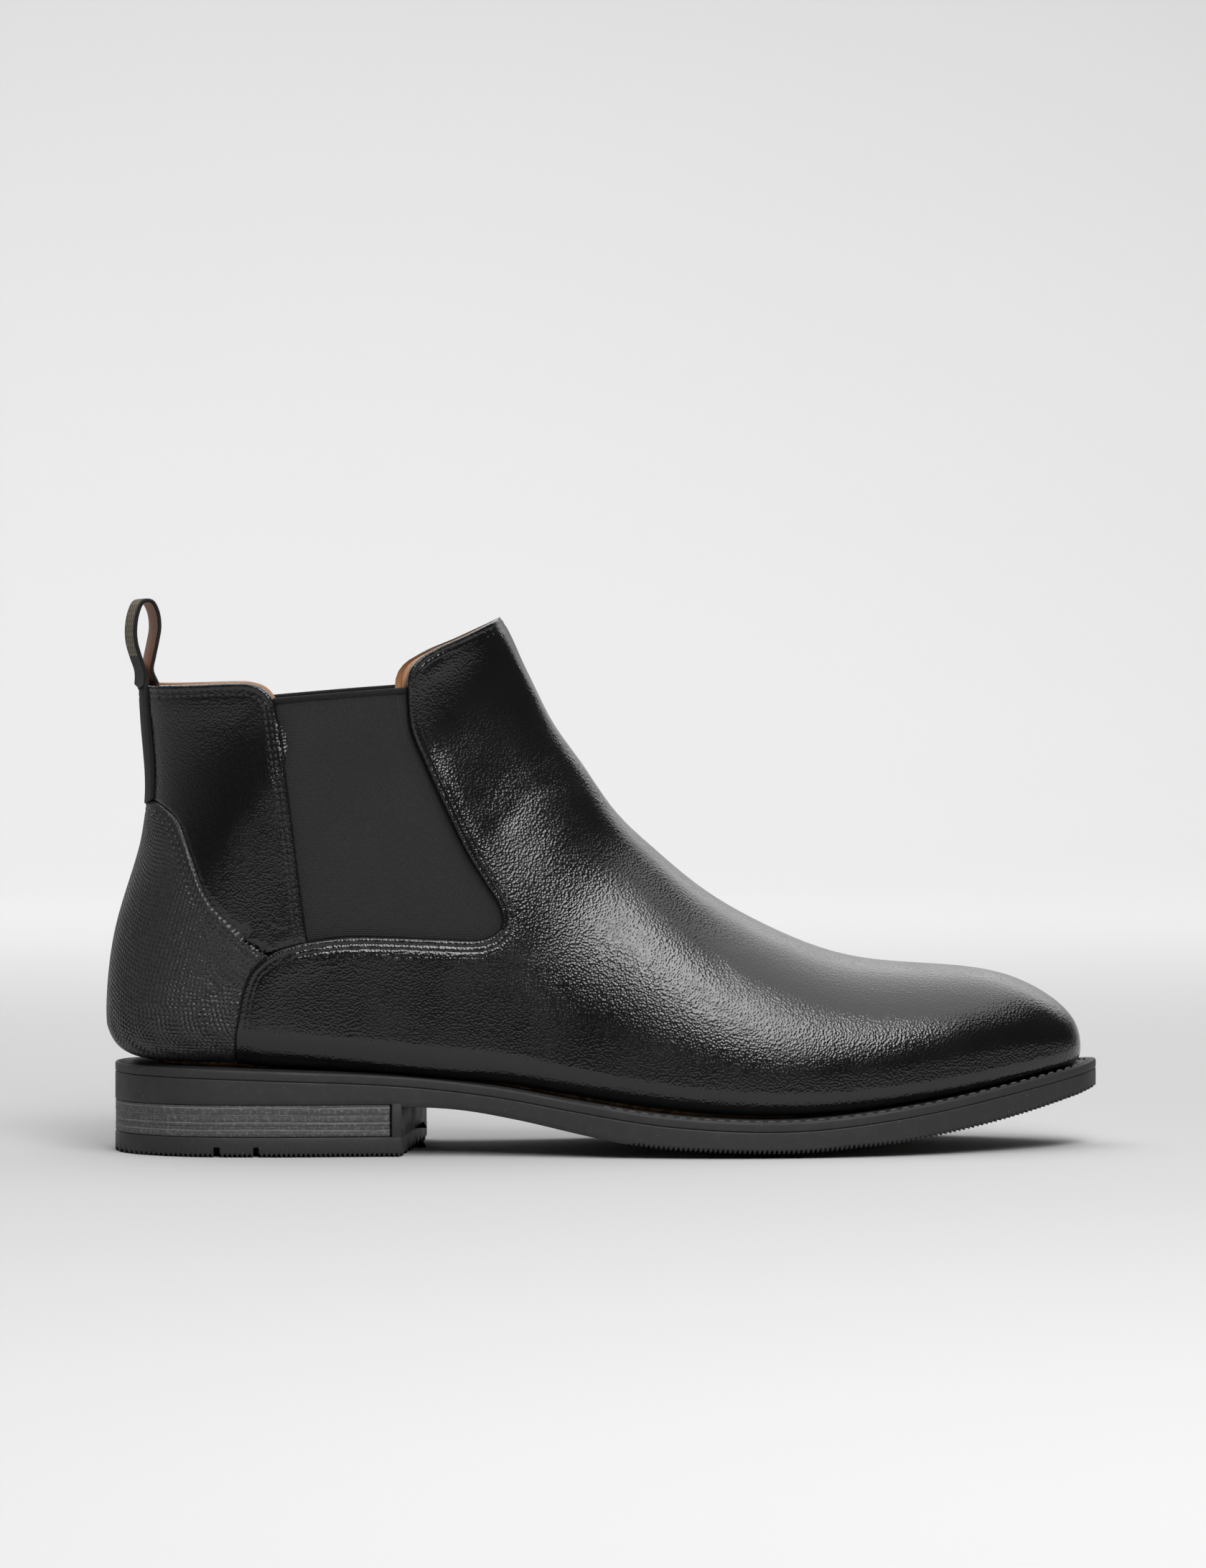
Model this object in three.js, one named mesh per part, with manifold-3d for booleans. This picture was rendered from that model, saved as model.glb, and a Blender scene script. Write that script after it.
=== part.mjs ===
// A men's chelsea boot, right foot: leather upper with elastic gores, welted rubber sole and stacked heel.
// Millimetres. +X runs from heel to toe, +Y is the medial side, +Z is up and Z = 0 is the ground.
// Shapes are drawn with X = 0 at the back of the heel, and the whole group is centred at the end.
import * as THREE from "three";
import { mergeVertices } from "three/addons/utils/BufferGeometryUtils.js";
import Module from "manifold-3d";

const wasm = await Module();
wasm.setup();

// ---------------------------------------------------------------- driving dimensions
const TOLERANCE = 0.04; // how far a surface may move when its flat spots are merged
const GAP = 0.3; // clearance between pieces that touch
const LEATHER = 1.4; // upper leather
const MIDDLE = 1.0; // elastic, stiffener and toe puff, between leather and lining
const LINING = 0.9;
const STRIP = 1.0; // tape over the back seam
const MIDDLE_AT = LEATHER + GAP; // depth of the middle layer under the outer surface
const LINING_AT = MIDDLE_AT + MIDDLE + GAP;
const INSIDE_AT = LINING_AT + LINING + GAP; // depth of the space that the foot and the insole share

const SOLE_LENGTH = 308;
const WELT = 2.6;
const INSOLE = 2.4;
const SOCK = 1.5;
const LASTING_MARGIN = 15; // how far the upper and its lining turn in under the insole

const LIFTS = 3; // layers of the stacked heel
const LIFT = 2.9;
const TOP_LIFT = 6.1; // rubber top piece that meets the ground
const LIFT_PITCH = LIFT + GAP;
const HEEL_SEAT_Z = TOP_LIFT + LIFTS * LIFT_PITCH + GAP; // underside of the outsole over the heel
const BREAST_X = 88; // front face of the heel, on the lateral side
const BREAST_SKEW = 0.15; // the medial end of the heel's front reaches further forward
const BREAST_FLAP = 3.2; // rubber of the outsole that turns down over the heel's front

const TREAD_PITCH = 1.5;
const TREAD_DEPTH = 0.8;
const TREAD_BORDER = 9; // width of the toothed edge round the tread
const TREAD_BACK = 158; // the forepart's tread starts here
const NOTCHES = [30.4, 42.4]; // places along the top piece's sides
const NOTCH = { width: 1.7, height: 3, depth: 5 };

const NAIL = { radius: 1.1, sides: 8, bottom: 8.4, top: 33.2 };
const NAILS = 5;
const NAIL_RING = { x: 44, alongX: 22, alongY: 14 };
const SHANK = { back: 62, front: 152, halfWidth: 7, low: 1.6, high: 3.0 };

const GORE_LAP = 6; // how far the elastic reaches under the leather round it
const BINDING = 1.8; // height of the folded tape on the elastic's top edge
const BINDING_STAND = 0.6; // how far the tape stands off both faces of the elastic
const STRIP_HALF_WIDTH = 9;
const STRIP_FOOT_Z = 109.6;
const STRIP_REACH = 40; // in front of the strip, behind the leg's middle

const LOOP = { x: 9.6, z: 147.6, width: 16, thick: 1.1, root: 1.1 };

// Cross-sections of the lasted boot, from the toe up to the top of the leg. Each runs from a point on the
// sole or the back line to a point on the ridge: [ridge x, z, bottom x, z, lateral width, medial width,
// centre y, height of the widest place as a share, roundness above it, roundness and squareness below it].
const SECTIONS = [
  [303.0, 31.4, 303.0, 31.4, 0, 0, 3, 0.38, 2.0, 4.0, 5.0],
  [300.3, 39.6, 300.3, 26.6, 13.5, 13, 3, 0.36, 2.0, 4.5, 7.0],
  [291.4, 47.8, 291.4, 24.4, 24.0, 22.5, 3, 0.33, 2.0, 5.0, 9.0],
  [276.0, 54.3, 276.0, 21.1, 33.5, 31, 3, 0.3, 2.0, 6.0, 12.0],
  [254.4, 56.9, 254.4, 16.9, 42.5, 38.5, 3, 0.27, 2.0, 6.0, 12.0],
  [229.0, 59.7, 229.0, 13.0, 48.5, 43, 3.5, 0.24, 2.0, 6.0, 12.0],
  [205.0, 68.5, 205.0, 11.4, 51.0, 43, 4, 0.21, 1.95, 6.0, 12.0],
  [184.5, 80.1, 182.0, 11.9, 49.5, 39, 4, 0.19, 1.95, 6.0, 12.0],
  [168.4, 93.2, 156.0, 14.8, 45.0, 34.5, 3, 0.19, 2.0, 6.0, 12.0],
  [156.0, 105.1, 128.0, 19.4, 39.5, 32, 1.5, 0.2, 2.05, 6.0, 11.0],
  [146.0, 119.2, 98.0, 23.6, 36.5, 33, 0, 0.22, 2.1, 6.0, 9.0],
  [137.4, 131.2, 64.0, 25.8, 35.5, 34, 0, 0.25, 2.2, 5.2, 7.5],
  [131.6, 142.1, 34.0, 26.8, 35.0, 34.5, 0, 0.28, 2.2, 4.4, 6.0],
  [127.6, 150.3, 13.0, 27.8, 34.5, 34.5, 0, 0.3, 2.2, 3.8, 4.4],
  [125.2, 155.5, 0.5, 33.0, 34.2, 34.2, 0, 0.32, 2.2, 3.3, 3.0],
  [123.2, 159.3, -2.3, 48.0, 34.0, 34, 0, 0.35, 2.2, 3.0, 2.4],
  [121.5, 162.4, 0.4, 70.0, 33.5, 33.5, 0, 0.4, 2.2, 2.7, 2.2],
  [120.0, 164.8, 7.0, 92.0, 33.0, 33, 0, 0.45, 2.2, 2.4, 2.0],
  [118.6, 167.0, 10.3, 112.0, 32.0, 32, 0, 0.5, 2.1, 2.2, 2.0],
  [117.0, 169.4, 9.2, 131.0, 31.5, 31.5, 0, 0.5, 2.1, 2.1, 2.0],
  [114.8, 172.2, 8.2, 151.0, 31.0, 31, 0, 0.5, 2.1, 2.1, 2.0],
];
const RINGS = 21;
const RING_POINTS = 20; // even, shared between the two sides

// The sole seen from above: heel back, lateral side, toe tip, medial side.
const SOLE_OUTLINE = [
  [0, 0], [5, -18], [22, -32], [48, -36.5], [90, -36.5], [125, -41], [158, -49.5], [187, -53],
  [215, -52], [242, -46.5], [269, -36], [290, -23.5], [302.8, -11.5], [308, 3], [303.2, 16.5], [290.5, 28.5],
  [270, 38.5], [246, 46], [220, 50], [195, 48.5], [165, 40.5], [135, 35], [105, 34], [75, 36],
  [45, 36.5], [21, 32], [5, 18],
];
// Height of the welt's top face, and of the ground side of the sole in front of the heel, along X.
const SOLE_TOP = [
  [-30, 28.3], [0, 27.3], [40, 26.2], [88, 24.1], [116, 21.0], [141, 16.6], [167, 12.6], [195, 10.8],
  [216, 11.3], [248, 15.2], [281, 21.4], [320, 29.2],
];
const SOLE_BOTTOM = [
  [80, 15.6], [105, 14.4], [122, 11.6], [141, 7.4], [155, 4.4], [168, 2.0], [181, 0.6], [195, 0.1],
  [209, 0.1], [224, 1.2], [240, 3.1], [255, 5.6], [270, 8.5], [286, 12.2], [320, 21.1],
];

// Edges of the upper's panels, seen from the side.
const COLLAR_BACK = [
  [15, 144.2], [26, 144.6], [36, 145], [41, 144.9], [45, 143.6], [47.5, 141.4], [49.2, 138.6],
];
const GORE_BACK = [
  [49.2, 138.6], [50.7, 128], [52.9, 113.5], [54.8, 99], [56.5, 84.5], [57.8, 73.7], [58.7, 66],
];
const GORE_FOOT = [
  [58.7, 66], [71, 67.3], [86, 67.2], [100, 66.6], [113, 66.6], [117.5, 69], [119, 73], [117.6, 78],
];
const GORE_FRONT = [
  [117.6, 78], [113.6, 84], [107.7, 93.7], [100.6, 108.3], [94.7, 121.6], [90.9, 131.2], [89.8, 143],
];
const GORE_TOP = [[36, 139.2], [49.2, 140.2], [89.8, 144.2], [100, 145.2]];
const COLLAR_FRONT = [
  [89.8, 143], [89.8, 146.5], [90.8, 149.6], [93.2, 152.5], [97.8, 155.3], [106.4, 159], [118, 164.6],
];
const COUNTER_TOP = [
  [10.7, 108.8], [15, 106.4], [19, 102.6], [21.5, 96.6], [24.5, 88.3], [27.5, 80.4], [31.6, 75], [36.4, 70.7],
  [40.4, 67.3], [44.5, 64.6], [48.4, 62.6],
];
const VAMP_BACK = [
  [58.7, 66], [54.4, 64.9], [51, 63.8], [48.4, 62.6], [45, 60], [42.2, 57], [39.8, 51], [38.5, 43.8],
  [37.5, 36.5],
];
const STIFFENER_TOP = [[8, 101], [14, 98], [20, 86], [30, 68], [44, 57], [62, 51], [80, 42], [84, 30]];
const PUFF_BACK = [[248, 80], [243, 50], [246, 30]];

// ---------------------------------------------------------------- curves and solids
// Natural cubic spline through values at 0, 1, 2 ...
function spline(values) {
  const n = values.length;
  const bend = new Array(n).fill(0);
  const share = new Array(n).fill(0);
  for (let i = 1; i < n - 1; i++) {
    const p = 0.5 * bend[i - 1] + 2;
    bend[i] = -0.5 / p;
    share[i] = (3 * (values[i + 1] - 2 * values[i] + values[i - 1]) - 0.5 * share[i - 1]) / p;
  }
  for (let i = n - 2; i > 0; i--) bend[i] = bend[i] * bend[i + 1] + share[i];
  bend[0] = 0;
  return (u) => {
    const i = Math.min(n - 2, Math.max(0, Math.floor(u)));
    const b = u - i;
    const a = 1 - b;
    const curved = ((a ** 3 - a) * bend[i] + (b ** 3 - b) * bend[i + 1]) / 6;
    return a * values[i] + b * values[i + 1] + curved;
  };
}

// Height along a curve given as [x, z] points with rising x.
function heightOf(points) {
  const line = smoothLine(points, points.length * 6);
  return (x) => {
    const i = Math.min(line.length - 1, Math.max(1, line.findIndex((p) => p[0] >= x)));
    const [[x0, z0], [x1, z1]] = [line[i - 1], line[i]];
    return z0 + ((z1 - z0) * (x - x0)) / (x1 - x0);
  };
}

function smoothLine(points, count, closed = false) {
  const curve = new THREE.CatmullRomCurve3(
    points.map(([x, z]) => new THREE.Vector3(x, z, 0)),
    closed,
    "centripetal",
  );
  const line = curve.getPoints(count).map((p) => [p.x, p.y]);
  return closed ? line.slice(0, -1) : line;
}

function solidOf(geometry) {
  const bare = geometry.index ? geometry.toNonIndexed() : geometry.clone();
  bare.deleteAttribute("normal");
  bare.deleteAttribute("uv");
  const merged = mergeVertices(bare, 1e-4);
  const mesh = new wasm.Mesh({
    numProp: 3,
    vertProperties: new Float32Array(merged.attributes.position.array),
    triVerts: new Uint32Array(merged.index.array),
  });
  return new wasm.Manifold(mesh);
}

// An outline without points that repeat the one before them.
function distinct(points) {
  return points.filter(([x, y], i) => {
    const [px, py] = points.at(i - 1);
    return Math.hypot(x - px, y - py) > 1e-3;
  });
}

function extruded(points, depth) {
  const shape = new THREE.Shape(distinct(points).map(([x, y]) => new THREE.Vector2(x, y)));
  return new THREE.ExtrudeGeometry(shape, { depth, bevelEnabled: false });
}

// A side-view outline of [x, z] points, carried across from y0 to y1.
function sidePrism(points, y0, y1) {
  const geometry = extruded(points, y1 - y0).rotateX(Math.PI / 2);
  return solidOf(geometry.translate(0, y1, 0));
}

// A plan outline of [x, y] points, carried up from z0 to z1.
function planPrism(points, z0, z1) {
  return solidOf(extruded(points, z1 - z0).translate(0, 0, z0));
}

// A plan outline moved in by a distance, measured square to the outline.
function inset(points, distance) {
  const line = distinct(points);
  return line.map(([x, y], i) => {
    const [ax, ay] = line.at(i - 1);
    const [bx, by] = line[(i + 1) % line.length];
    const length = Math.hypot(bx - ax, by - ay);
    return [x - (distance * (by - ay)) / length, y + (distance * (bx - ax)) / length];
  });
}

const soleTop = heightOf(SOLE_TOP);
const soleBottom = heightOf(SOLE_BOTTOM);
const soleOutline = smoothLine(SOLE_OUTLINE, 54, true);
const FAR = 90; // past the boot's widest place

// A layer that follows the sole's top face, from one height over it to another.
function soleLayer(x0, x1, low, high, steps = 18) {
  const xs = Array.from({ length: steps + 1 }, (_, i) => x0 + ((x1 - x0) * i) / steps);
  const under = xs.map((x) => [x, soleTop(x) + low]);
  const over = xs.map((x) => [x, soleTop(x) + high]).reverse();
  return sidePrism([...under, ...over], -FAR, FAR);
}

// ---------------------------------------------------------------- the lasted shape
const section = SECTIONS[0].map((_, k) => spline(SECTIONS.map((row) => row[k])));

// One ring of the boot's surface, moved in by a depth: from the sole up the lateral side, over the ridge
// and down.
function ring(u, depth) {
  const [rx, rz, bx, bz, lateral, medial, centre, widest, above, below, square] = section.map((f) => f(u));
  const up = new THREE.Vector2(rx - bx, rz - bz);
  const height = up.length();
  const half = height / 2;
  const squeeze = Math.max(0.02, 1 - depth / Math.max(half, depth + 0.01));
  up.divideScalar(height || 1);
  const middle = new THREE.Vector2((rx + bx) / 2, (rz + bz) / 2);
  const points = [];
  for (let i = 0; i < RING_POINTS; i++) {
    const turn = (2 * Math.PI * i) / RING_POINTS;
    const c = Math.cos(turn);
    const low = c > 0;
    const s = Math.abs(c) ** (2 / (low ? below : above));
    const share = low ? widest * (1 - s) : widest + (1 - widest) * s;
    const out = Math.abs(Math.sin(turn)) ** (2 / (low ? square : 2));
    const onLateral = turn < Math.PI;
    const width = Math.max(0.02, (onLateral ? lateral : medial) - depth);
    const along = (share - 0.5) * height * squeeze;
    const flat = middle.clone().addScaledVector(up, along);
    points.push(new THREE.Vector3(flat.x, centre + (onLateral ? -1 : 1) * width * out, flat.y));
  }
  return points;
}

// The whole boot as one closed body, its surface moved in by a depth (or out, where the depth is negative).
function lasted(depth) {
  const first = 0.12 + Math.max(0, depth) * 0.08;
  const last = SECTIONS.length - 1;
  const ringAt = (j) => ring(first + ((last - first) * j) / RINGS, depth);
  const rings = Array.from({ length: RINGS + 1 }, (_, j) => ringAt(j));
  const middleOf = (points) =>
    points.reduce((sum, p) => sum.add(p), new THREE.Vector3()).divideScalar(points.length);
  const vertices = rings.flat();
  const toe = vertices.push(middleOf(rings[0])) - 1;
  const top = vertices.push(middleOf(rings[RINGS])) - 1;
  const faces = [];
  for (let i = 0; i < RING_POINTS; i++) {
    const k = (i + 1) % RING_POINTS;
    faces.push([toe, k, i]);
    for (let j = 0; j < RINGS; j++) {
      const [a, b] = [j * RING_POINTS, (j + 1) * RING_POINTS];
      faces.push([a + i, a + k, b + k], [a + i, b + k, b + i]);
    }
    faces.push([top, RINGS * RING_POINTS + i, RINGS * RING_POINTS + k]);
  }
  const geometry = new THREE.BufferGeometry()
    .setFromPoints(vertices)
    .setIndex(faces.flat());
  return solidOf(geometry);
}

// A ring of leather or lining: the space between two depths under the boot's surface.
const shell = (from, thickness) => lasted(from).subtract(lasted(from + thickness));

// ---------------------------------------------------------------- outlines of the panels, anticlockwise
const LOW = -20; // below the ground
const HIGH = 190; // over the collar
const BEHIND = -30;
const AHEAD = 340;

const smooth = (points) => smoothLine(points, points.length + 1);
const backwards = (points) => [...points].reverse();
const counterTop = smooth(COUNTER_TOP);
const goreBack = smooth(GORE_BACK);
const goreFoot = smooth(GORE_FOOT);
const goreFront = smooth(GORE_FRONT);
const collarBack = smooth(COLLAR_BACK);
const collarFront = smooth(COLLAR_FRONT);
const counterCorner = VAMP_BACK.findIndex(([x]) => x === COUNTER_TOP.at(-1)[0]);
const vampToCounter = smooth(VAMP_BACK.slice(0, counterCorner + 1));
const counterFront = smooth(VAMP_BACK.slice(counterCorner));

const VAMP_PANEL = [
  [counterFront.at(-1)[0], LOW], [AHEAD, LOW], [AHEAD, HIGH], [collarFront.at(-1)[0] + 22, HIGH],
  ...backwards(collarFront), ...backwards(goreFront).slice(1), ...backwards(goreFoot).slice(1),
  ...vampToCounter.slice(1), ...counterFront.slice(1),
];
const COUNTER_PANEL = [
  [BEHIND, LOW], [counterFront.at(-1)[0], LOW], ...backwards(counterFront),
  ...backwards(counterTop).slice(1), [BEHIND, counterTop[0][1]],
];
const QUARTER_PANEL = [
  [BEHIND, counterTop[0][1]], ...counterTop, ...backwards(vampToCounter).slice(1),
  ...backwards(goreBack).slice(1), ...backwards(collarBack).slice(1), [BEHIND, collarBack[0][1]],
];
const GORE_WINDOW = [
  ...goreFoot, ...goreFront.slice(1), [goreFront.at(-1)[0], HIGH], [goreBack[0][0], HIGH], ...goreBack,
];
const goreTop = (drop) => GORE_TOP.map(([x, z]) => [x, z - drop]);
const under = (line) => [
  [BEHIND, LOW], [AHEAD, LOW], [AHEAD, line.at(-1)[1]], ...backwards(line), [BEHIND, line[0][1]],
];
const PUFF_PANEL = [...PUFF_BACK, [PUFF_BACK.at(-1)[0], LOW], [AHEAD, LOW], [AHEAD, PUFF_BACK[0][1]]];

const STIFFENER_PANEL = [
  [BEHIND, LOW], [STIFFENER_TOP.at(-1)[0], LOW], ...backwards(STIFFENER_TOP), [BEHIND, STIFFENER_TOP[0][1]],
];

const across = (panel, move = GAP / 2) => sidePrism(inset(panel, move), -FAR, FAR);
const planBox = (x0, x1, y0, y1) => planPrism([[x0, y0], [x1, y0], [x1, y1], [x0, y1]], LOW, HIGH);
const lateralHalf = planBox(BEHIND, AHEAD, -FAR, -GAP / 2);
const medialHalf = planBox(BEHIND, AHEAD, GAP / 2, FAR);

// ---------------------------------------------------------------- the upper
const featherEdge = planPrism(inset(soleOutline, LASTING_MARGIN), LOW, HIGH)
  .intersect(soleLayer(BEHIND, AHEAD, -2 * INSIDE_AT, 2 * INSIDE_AT));
const leather = shell(0, LEATHER).subtract(featherEdge);
const middle = shell(MIDDLE_AT, MIDDLE).subtract(featherEdge);
const lining = shell(LINING_AT, LINING).subtract(featherEdge);

const vamp = () => leather.intersect(across(VAMP_PANEL));
const heelCounter = () => leather.intersect(across(COUNTER_PANEL));
const quarter = (half) => leather.intersect(across(QUARTER_PANEL)).intersect(half);

const vampLining = () => lining.intersect(across(VAMP_PANEL));
const heelLining = () => lining.intersect(across(COUNTER_PANEL));
const quarterLining = () => lining.intersect(across(QUARTER_PANEL));

function gore(half) {
  const panel = sidePrism(inset(GORE_WINDOW, -GORE_LAP), -FAR, FAR);
  const belowBinding = across(under(goreTop(BINDING + GAP)), 0);
  return middle.intersect(panel).intersect(belowBinding).intersect(half);
}

function goreBinding(half) {
  const tape = shell(MIDDLE_AT - BINDING_STAND, MIDDLE + 2 * BINDING_STAND);
  const band = across(under(goreTop(0)), 0).subtract(across(under(goreTop(BINDING)), 0));
  return tape.intersect(band).intersect(across(GORE_WINDOW)).intersect(half);
}

const heelStiffener = () => middle.intersect(across(STIFFENER_PANEL, 0));
const toePuff = () => middle.intersect(across(PUFF_PANEL, 0));

function backStrip() {
  const foot = STRIP_FOOT_Z;
  const top = collarBack[0][1];
  const band = [[BEHIND, foot], [STRIP_REACH, foot], [STRIP_REACH, top], [BEHIND, top]];
  const width = planBox(BEHIND, STRIP_REACH, -STRIP_HALF_WIDTH, STRIP_HALF_WIDTH);
  return shell(-STRIP - GAP, STRIP).intersect(across(band, 0)).intersect(width);
}

// The loop of tape that stands on the back of the collar, hinged at its sewn root.
function pullLoop() {
  const side = [[-1.1, 1.4], [-2.2, 5], [-3.8, 10.4], [-4.3, 15], [-3.2, 20.4], [-1.2, 22.9]];
  const mirrored = backwards(side).map(([x, z]) => [-x, z]);
  const middleLine = smoothLine([...side, ...mirrored], 26);
  const place = ([x, z]) => [LOOP.x + x, LOOP.z + z];
  const outer = inset(middleLine, LOOP.thick / 2).map(place);
  const inner = inset(middleLine, -LOOP.thick / 2).map(place);
  const y = LOOP.width / 2;
  const band = sidePrism(backwards(outer), -y, y).subtract(sidePrism(backwards(inner), -y - 1, y + 1));
  const root = new THREE.CylinderGeometry(LOOP.root, LOOP.root, LOOP.width, 12).translate(LOOP.x, 0, LOOP.z);
  const neck = sidePrism([[-1.6, -0.2], [1.6, -0.2], [1.6, 1.8], [-1.6, 1.8]].map(place), -y, y);
  return band.add(solidOf(root)).add(neck);
}

// ---------------------------------------------------------------- the bottom
const cavity = lasted(INSIDE_AT);
const insoleTop = INSIDE_AT + GAP + INSOLE;
const nailSpots = Array.from({ length: NAILS }, (_, i) => {
  const turn = Math.PI / 2 + (Math.PI * i) / (NAILS - 1);
  return [NAIL_RING.x + NAIL_RING.alongX * Math.cos(turn), NAIL_RING.alongY * Math.sin(turn)];
});

function nail([x, y], extra = 0) {
  const { radius, sides, bottom, top } = NAIL;
  const height = top - bottom + 2 * extra;
  const pin = new THREE.CylinderGeometry(radius + extra, radius + extra, height, sides).rotateX(Math.PI / 2);
  return solidOf(pin.translate(x, y, (top + bottom) / 2));
}
const nailHoles = nailSpots.map((spot) => nail(spot, GAP)).reduce((all, hole) => all.add(hole));

const insoleBoard = () => cavity.intersect(soleLayer(BEHIND, AHEAD, 0, insoleTop)).subtract(nailHoles);
const sockLiner = () => cavity.intersect(soleLayer(BEHIND, AHEAD, insoleTop + GAP, insoleTop + GAP + SOCK));

// The steel shank, or with an extra gap the slot for it, which is open at the top.
function shankBox(extra, high = SHANK.high) {
  const { back, front, halfWidth, low } = SHANK;
  const [x0, x1, y] = [back - extra, front + extra, halfWidth + extra];
  return soleLayer(x0, x1, low - extra, high, 10).intersect(planBox(x0, x1, -y, y));
}

function corkFiller() {
  const margin = planPrism(inset(soleOutline, LASTING_MARGIN + GAP), LOW, HIGH);
  const layer = soleLayer(BEHIND, AHEAD, -WELT, INSIDE_AT).subtract(lasted(INSIDE_AT - GAP));
  return layer.intersect(margin).subtract(shankBox(GAP, 2 * SHANK.high)).subtract(nailHoles);
}

function welt() {
  const ring = planPrism(soleOutline, LOW, HIGH).subtract(featherEdge);
  return soleLayer(BEHIND, AHEAD, -WELT, 0).intersect(ring).subtract(lasted(-GAP));
}

// The heel's front face is skewed, so the heel region is drawn in plan; back is a distance behind that face.
function heelRegion(back) {
  const front = (y) => BREAST_X + BREAST_SKEW * (y + 36) - back;
  return [[BEHIND, -FAR], [front(-FAR), -FAR], [front(FAR), FAR], [BEHIND, FAR]];
}

// Small notches side by side along a ground line, cut only in the border of the tread.
function treadCut(x0, x1, groundAt, outline) {
  const line = [];
  for (let x = x0; x < x1; x += TREAD_PITCH) {
    line.push([x, groundAt(x) - GAP], [x + TREAD_PITCH / 2, groundAt(x) + TREAD_DEPTH]);
  }
  const comb = sidePrism([[x0, LOW], [line.at(-1)[0], LOW], ...backwards(line)], -FAR, FAR);
  return comb.subtract(planPrism(inset(outline, TREAD_BORDER), LOW, HIGH));
}

function outsole() {
  const steps = 33;
  const back = BREAST_X - 4;
  const front = SOLE_LENGTH + 12;
  const xs = Array.from({ length: steps + 1 }, (_, i) => back + (i * (front - back)) / steps);
  const ground = [[BEHIND, HEEL_SEAT_Z], [back - 1, HEEL_SEAT_Z], ...xs.map((x) => [x, soleBottom(x)])];
  const roofAt = (x) => [x, soleTop(x) - WELT - GAP];
  const roof = xs.map(roofAt);
  const heelRoof = [82, 54, 34, 14, -6, BEHIND].map(roofAt);
  const plate = sidePrism([...ground, ...backwards(roof), ...heelRoof], -FAR, FAR);
  const flap = planPrism(heelRegion(0), TOP_LIFT + GAP, HEEL_SEAT_Z + 1);
  const seat = planPrism(heelRegion(BREAST_FLAP), LOW, HEEL_SEAT_Z);
  const body = plate.add(flap).subtract(seat).intersect(planPrism(soleOutline, LOW, HIGH));
  return body.subtract(treadCut(TREAD_BACK, SOLE_LENGTH - 4, soleBottom, soleOutline)).subtract(nailHoles);
}

function heelLift(i) {
  const low = TOP_LIFT + GAP + i * LIFT_PITCH;
  const slab = planPrism(soleOutline, low, low + LIFT);
  return slab.intersect(planPrism(heelRegion(BREAST_FLAP + GAP), LOW, HIGH)).subtract(nailHoles);
}

function topLift() {
  const slab = planPrism(soleOutline, 0, TOP_LIFT).intersect(planPrism(heelRegion(0), LOW, HIGH));
  const teeth = treadCut(BREAST_X % TREAD_PITCH, BREAST_X + 5, () => 0, soleOutline);
  const { width, height, depth } = NOTCH;
  const sides = planPrism(soleOutline, LOW, HIGH).subtract(planPrism(inset(soleOutline, depth), LOW, HIGH));
  const slotAt = (x) => sidePrism([[x, LOW], [x + width, LOW], [x + width, height], [x, height]], -FAR, FAR);
  const slots = NOTCHES.map(slotAt);
  return slots.reduce((body, slot) => body.subtract(slot.intersect(sides)), slab.subtract(teeth));
}

// ---------------------------------------------------------------- the boot
const LOOKS = {
  calf: { color: 0x141414, roughness: 0.32, metalness: 0 },
  embossed: { color: 0x171717, roughness: 0.4, metalness: 0 },
  tape: { color: 0x121212, roughness: 0.8, metalness: 0 },
  elastic: { color: 0x242424, roughness: 0.85, metalness: 0 },
  lining: { color: 0xa4703f, roughness: 0.65, metalness: 0 },
  board: { color: 0xb08a5c, roughness: 0.8, metalness: 0 },
  cork: { color: 0xa37c50, roughness: 0.9, metalness: 0 },
  steel: { color: 0x9a9a9a, roughness: 0.35, metalness: 1 },
  rubber: { color: 0x2c2c2c, roughness: 0.7, metalness: 0 },
  stack: { color: 0x4c4a48, roughness: 0.75, metalness: 0 },
};

const boot = new THREE.Group();

// The largest body of a cut solid: slivers that a cut leaves at an edge are dropped.
function largest(solid) {
  const bodies = solid.decompose();
  return bodies.reduce((best, body) => (body.volume() > best.volume() ? body : best));
}

function add(name, solid, look) {
  const body = largest(solid).simplify(TOLERANCE);
  const made = body.getMesh();
  const geometry = new THREE.BufferGeometry()
    .setAttribute("position", new THREE.BufferAttribute(made.vertProperties, 3))
    .setIndex(new THREE.BufferAttribute(made.triVerts, 1));
  geometry.computeVertexNormals();
  const mesh = new THREE.Mesh(geometry, new THREE.MeshStandardMaterial(LOOKS[look]));
  mesh.name = name;
  boot.add(mesh);
}

add("vamp", vamp(), "calf");
add("toe_puff", toePuff(), "board");
add("vamp_lining", vampLining(), "lining");
add("heel_counter", heelCounter(), "embossed");
add("heel_stiffener", heelStiffener(), "board");
add("heel_lining", heelLining(), "lining");
add("quarter_lining", quarterLining(), "lining");
for (const [side, half] of [["lateral", lateralHalf], ["medial", medialHalf]]) {
  add(`quarter_${side}`, quarter(half), "calf");
  add(`gore_${side}`, gore(half), "elastic");
  add(`gore_binding_${side}`, goreBinding(half), "tape");
}
add("back_strip", backStrip(), "tape");
add("pull_loop", pullLoop(), "tape");
add("insole_board", insoleBoard(), "board");
add("sock_liner", sockLiner(), "lining");
add("cork_filler", corkFiller(), "cork");
add("shank", shankBox(0), "steel");
add("welt", welt(), "rubber");
add("outsole", outsole(), "rubber");
for (let i = 0; i < LIFTS; i++) add(`heel_lift_${i + 1}`, heelLift(i), "stack");
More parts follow.
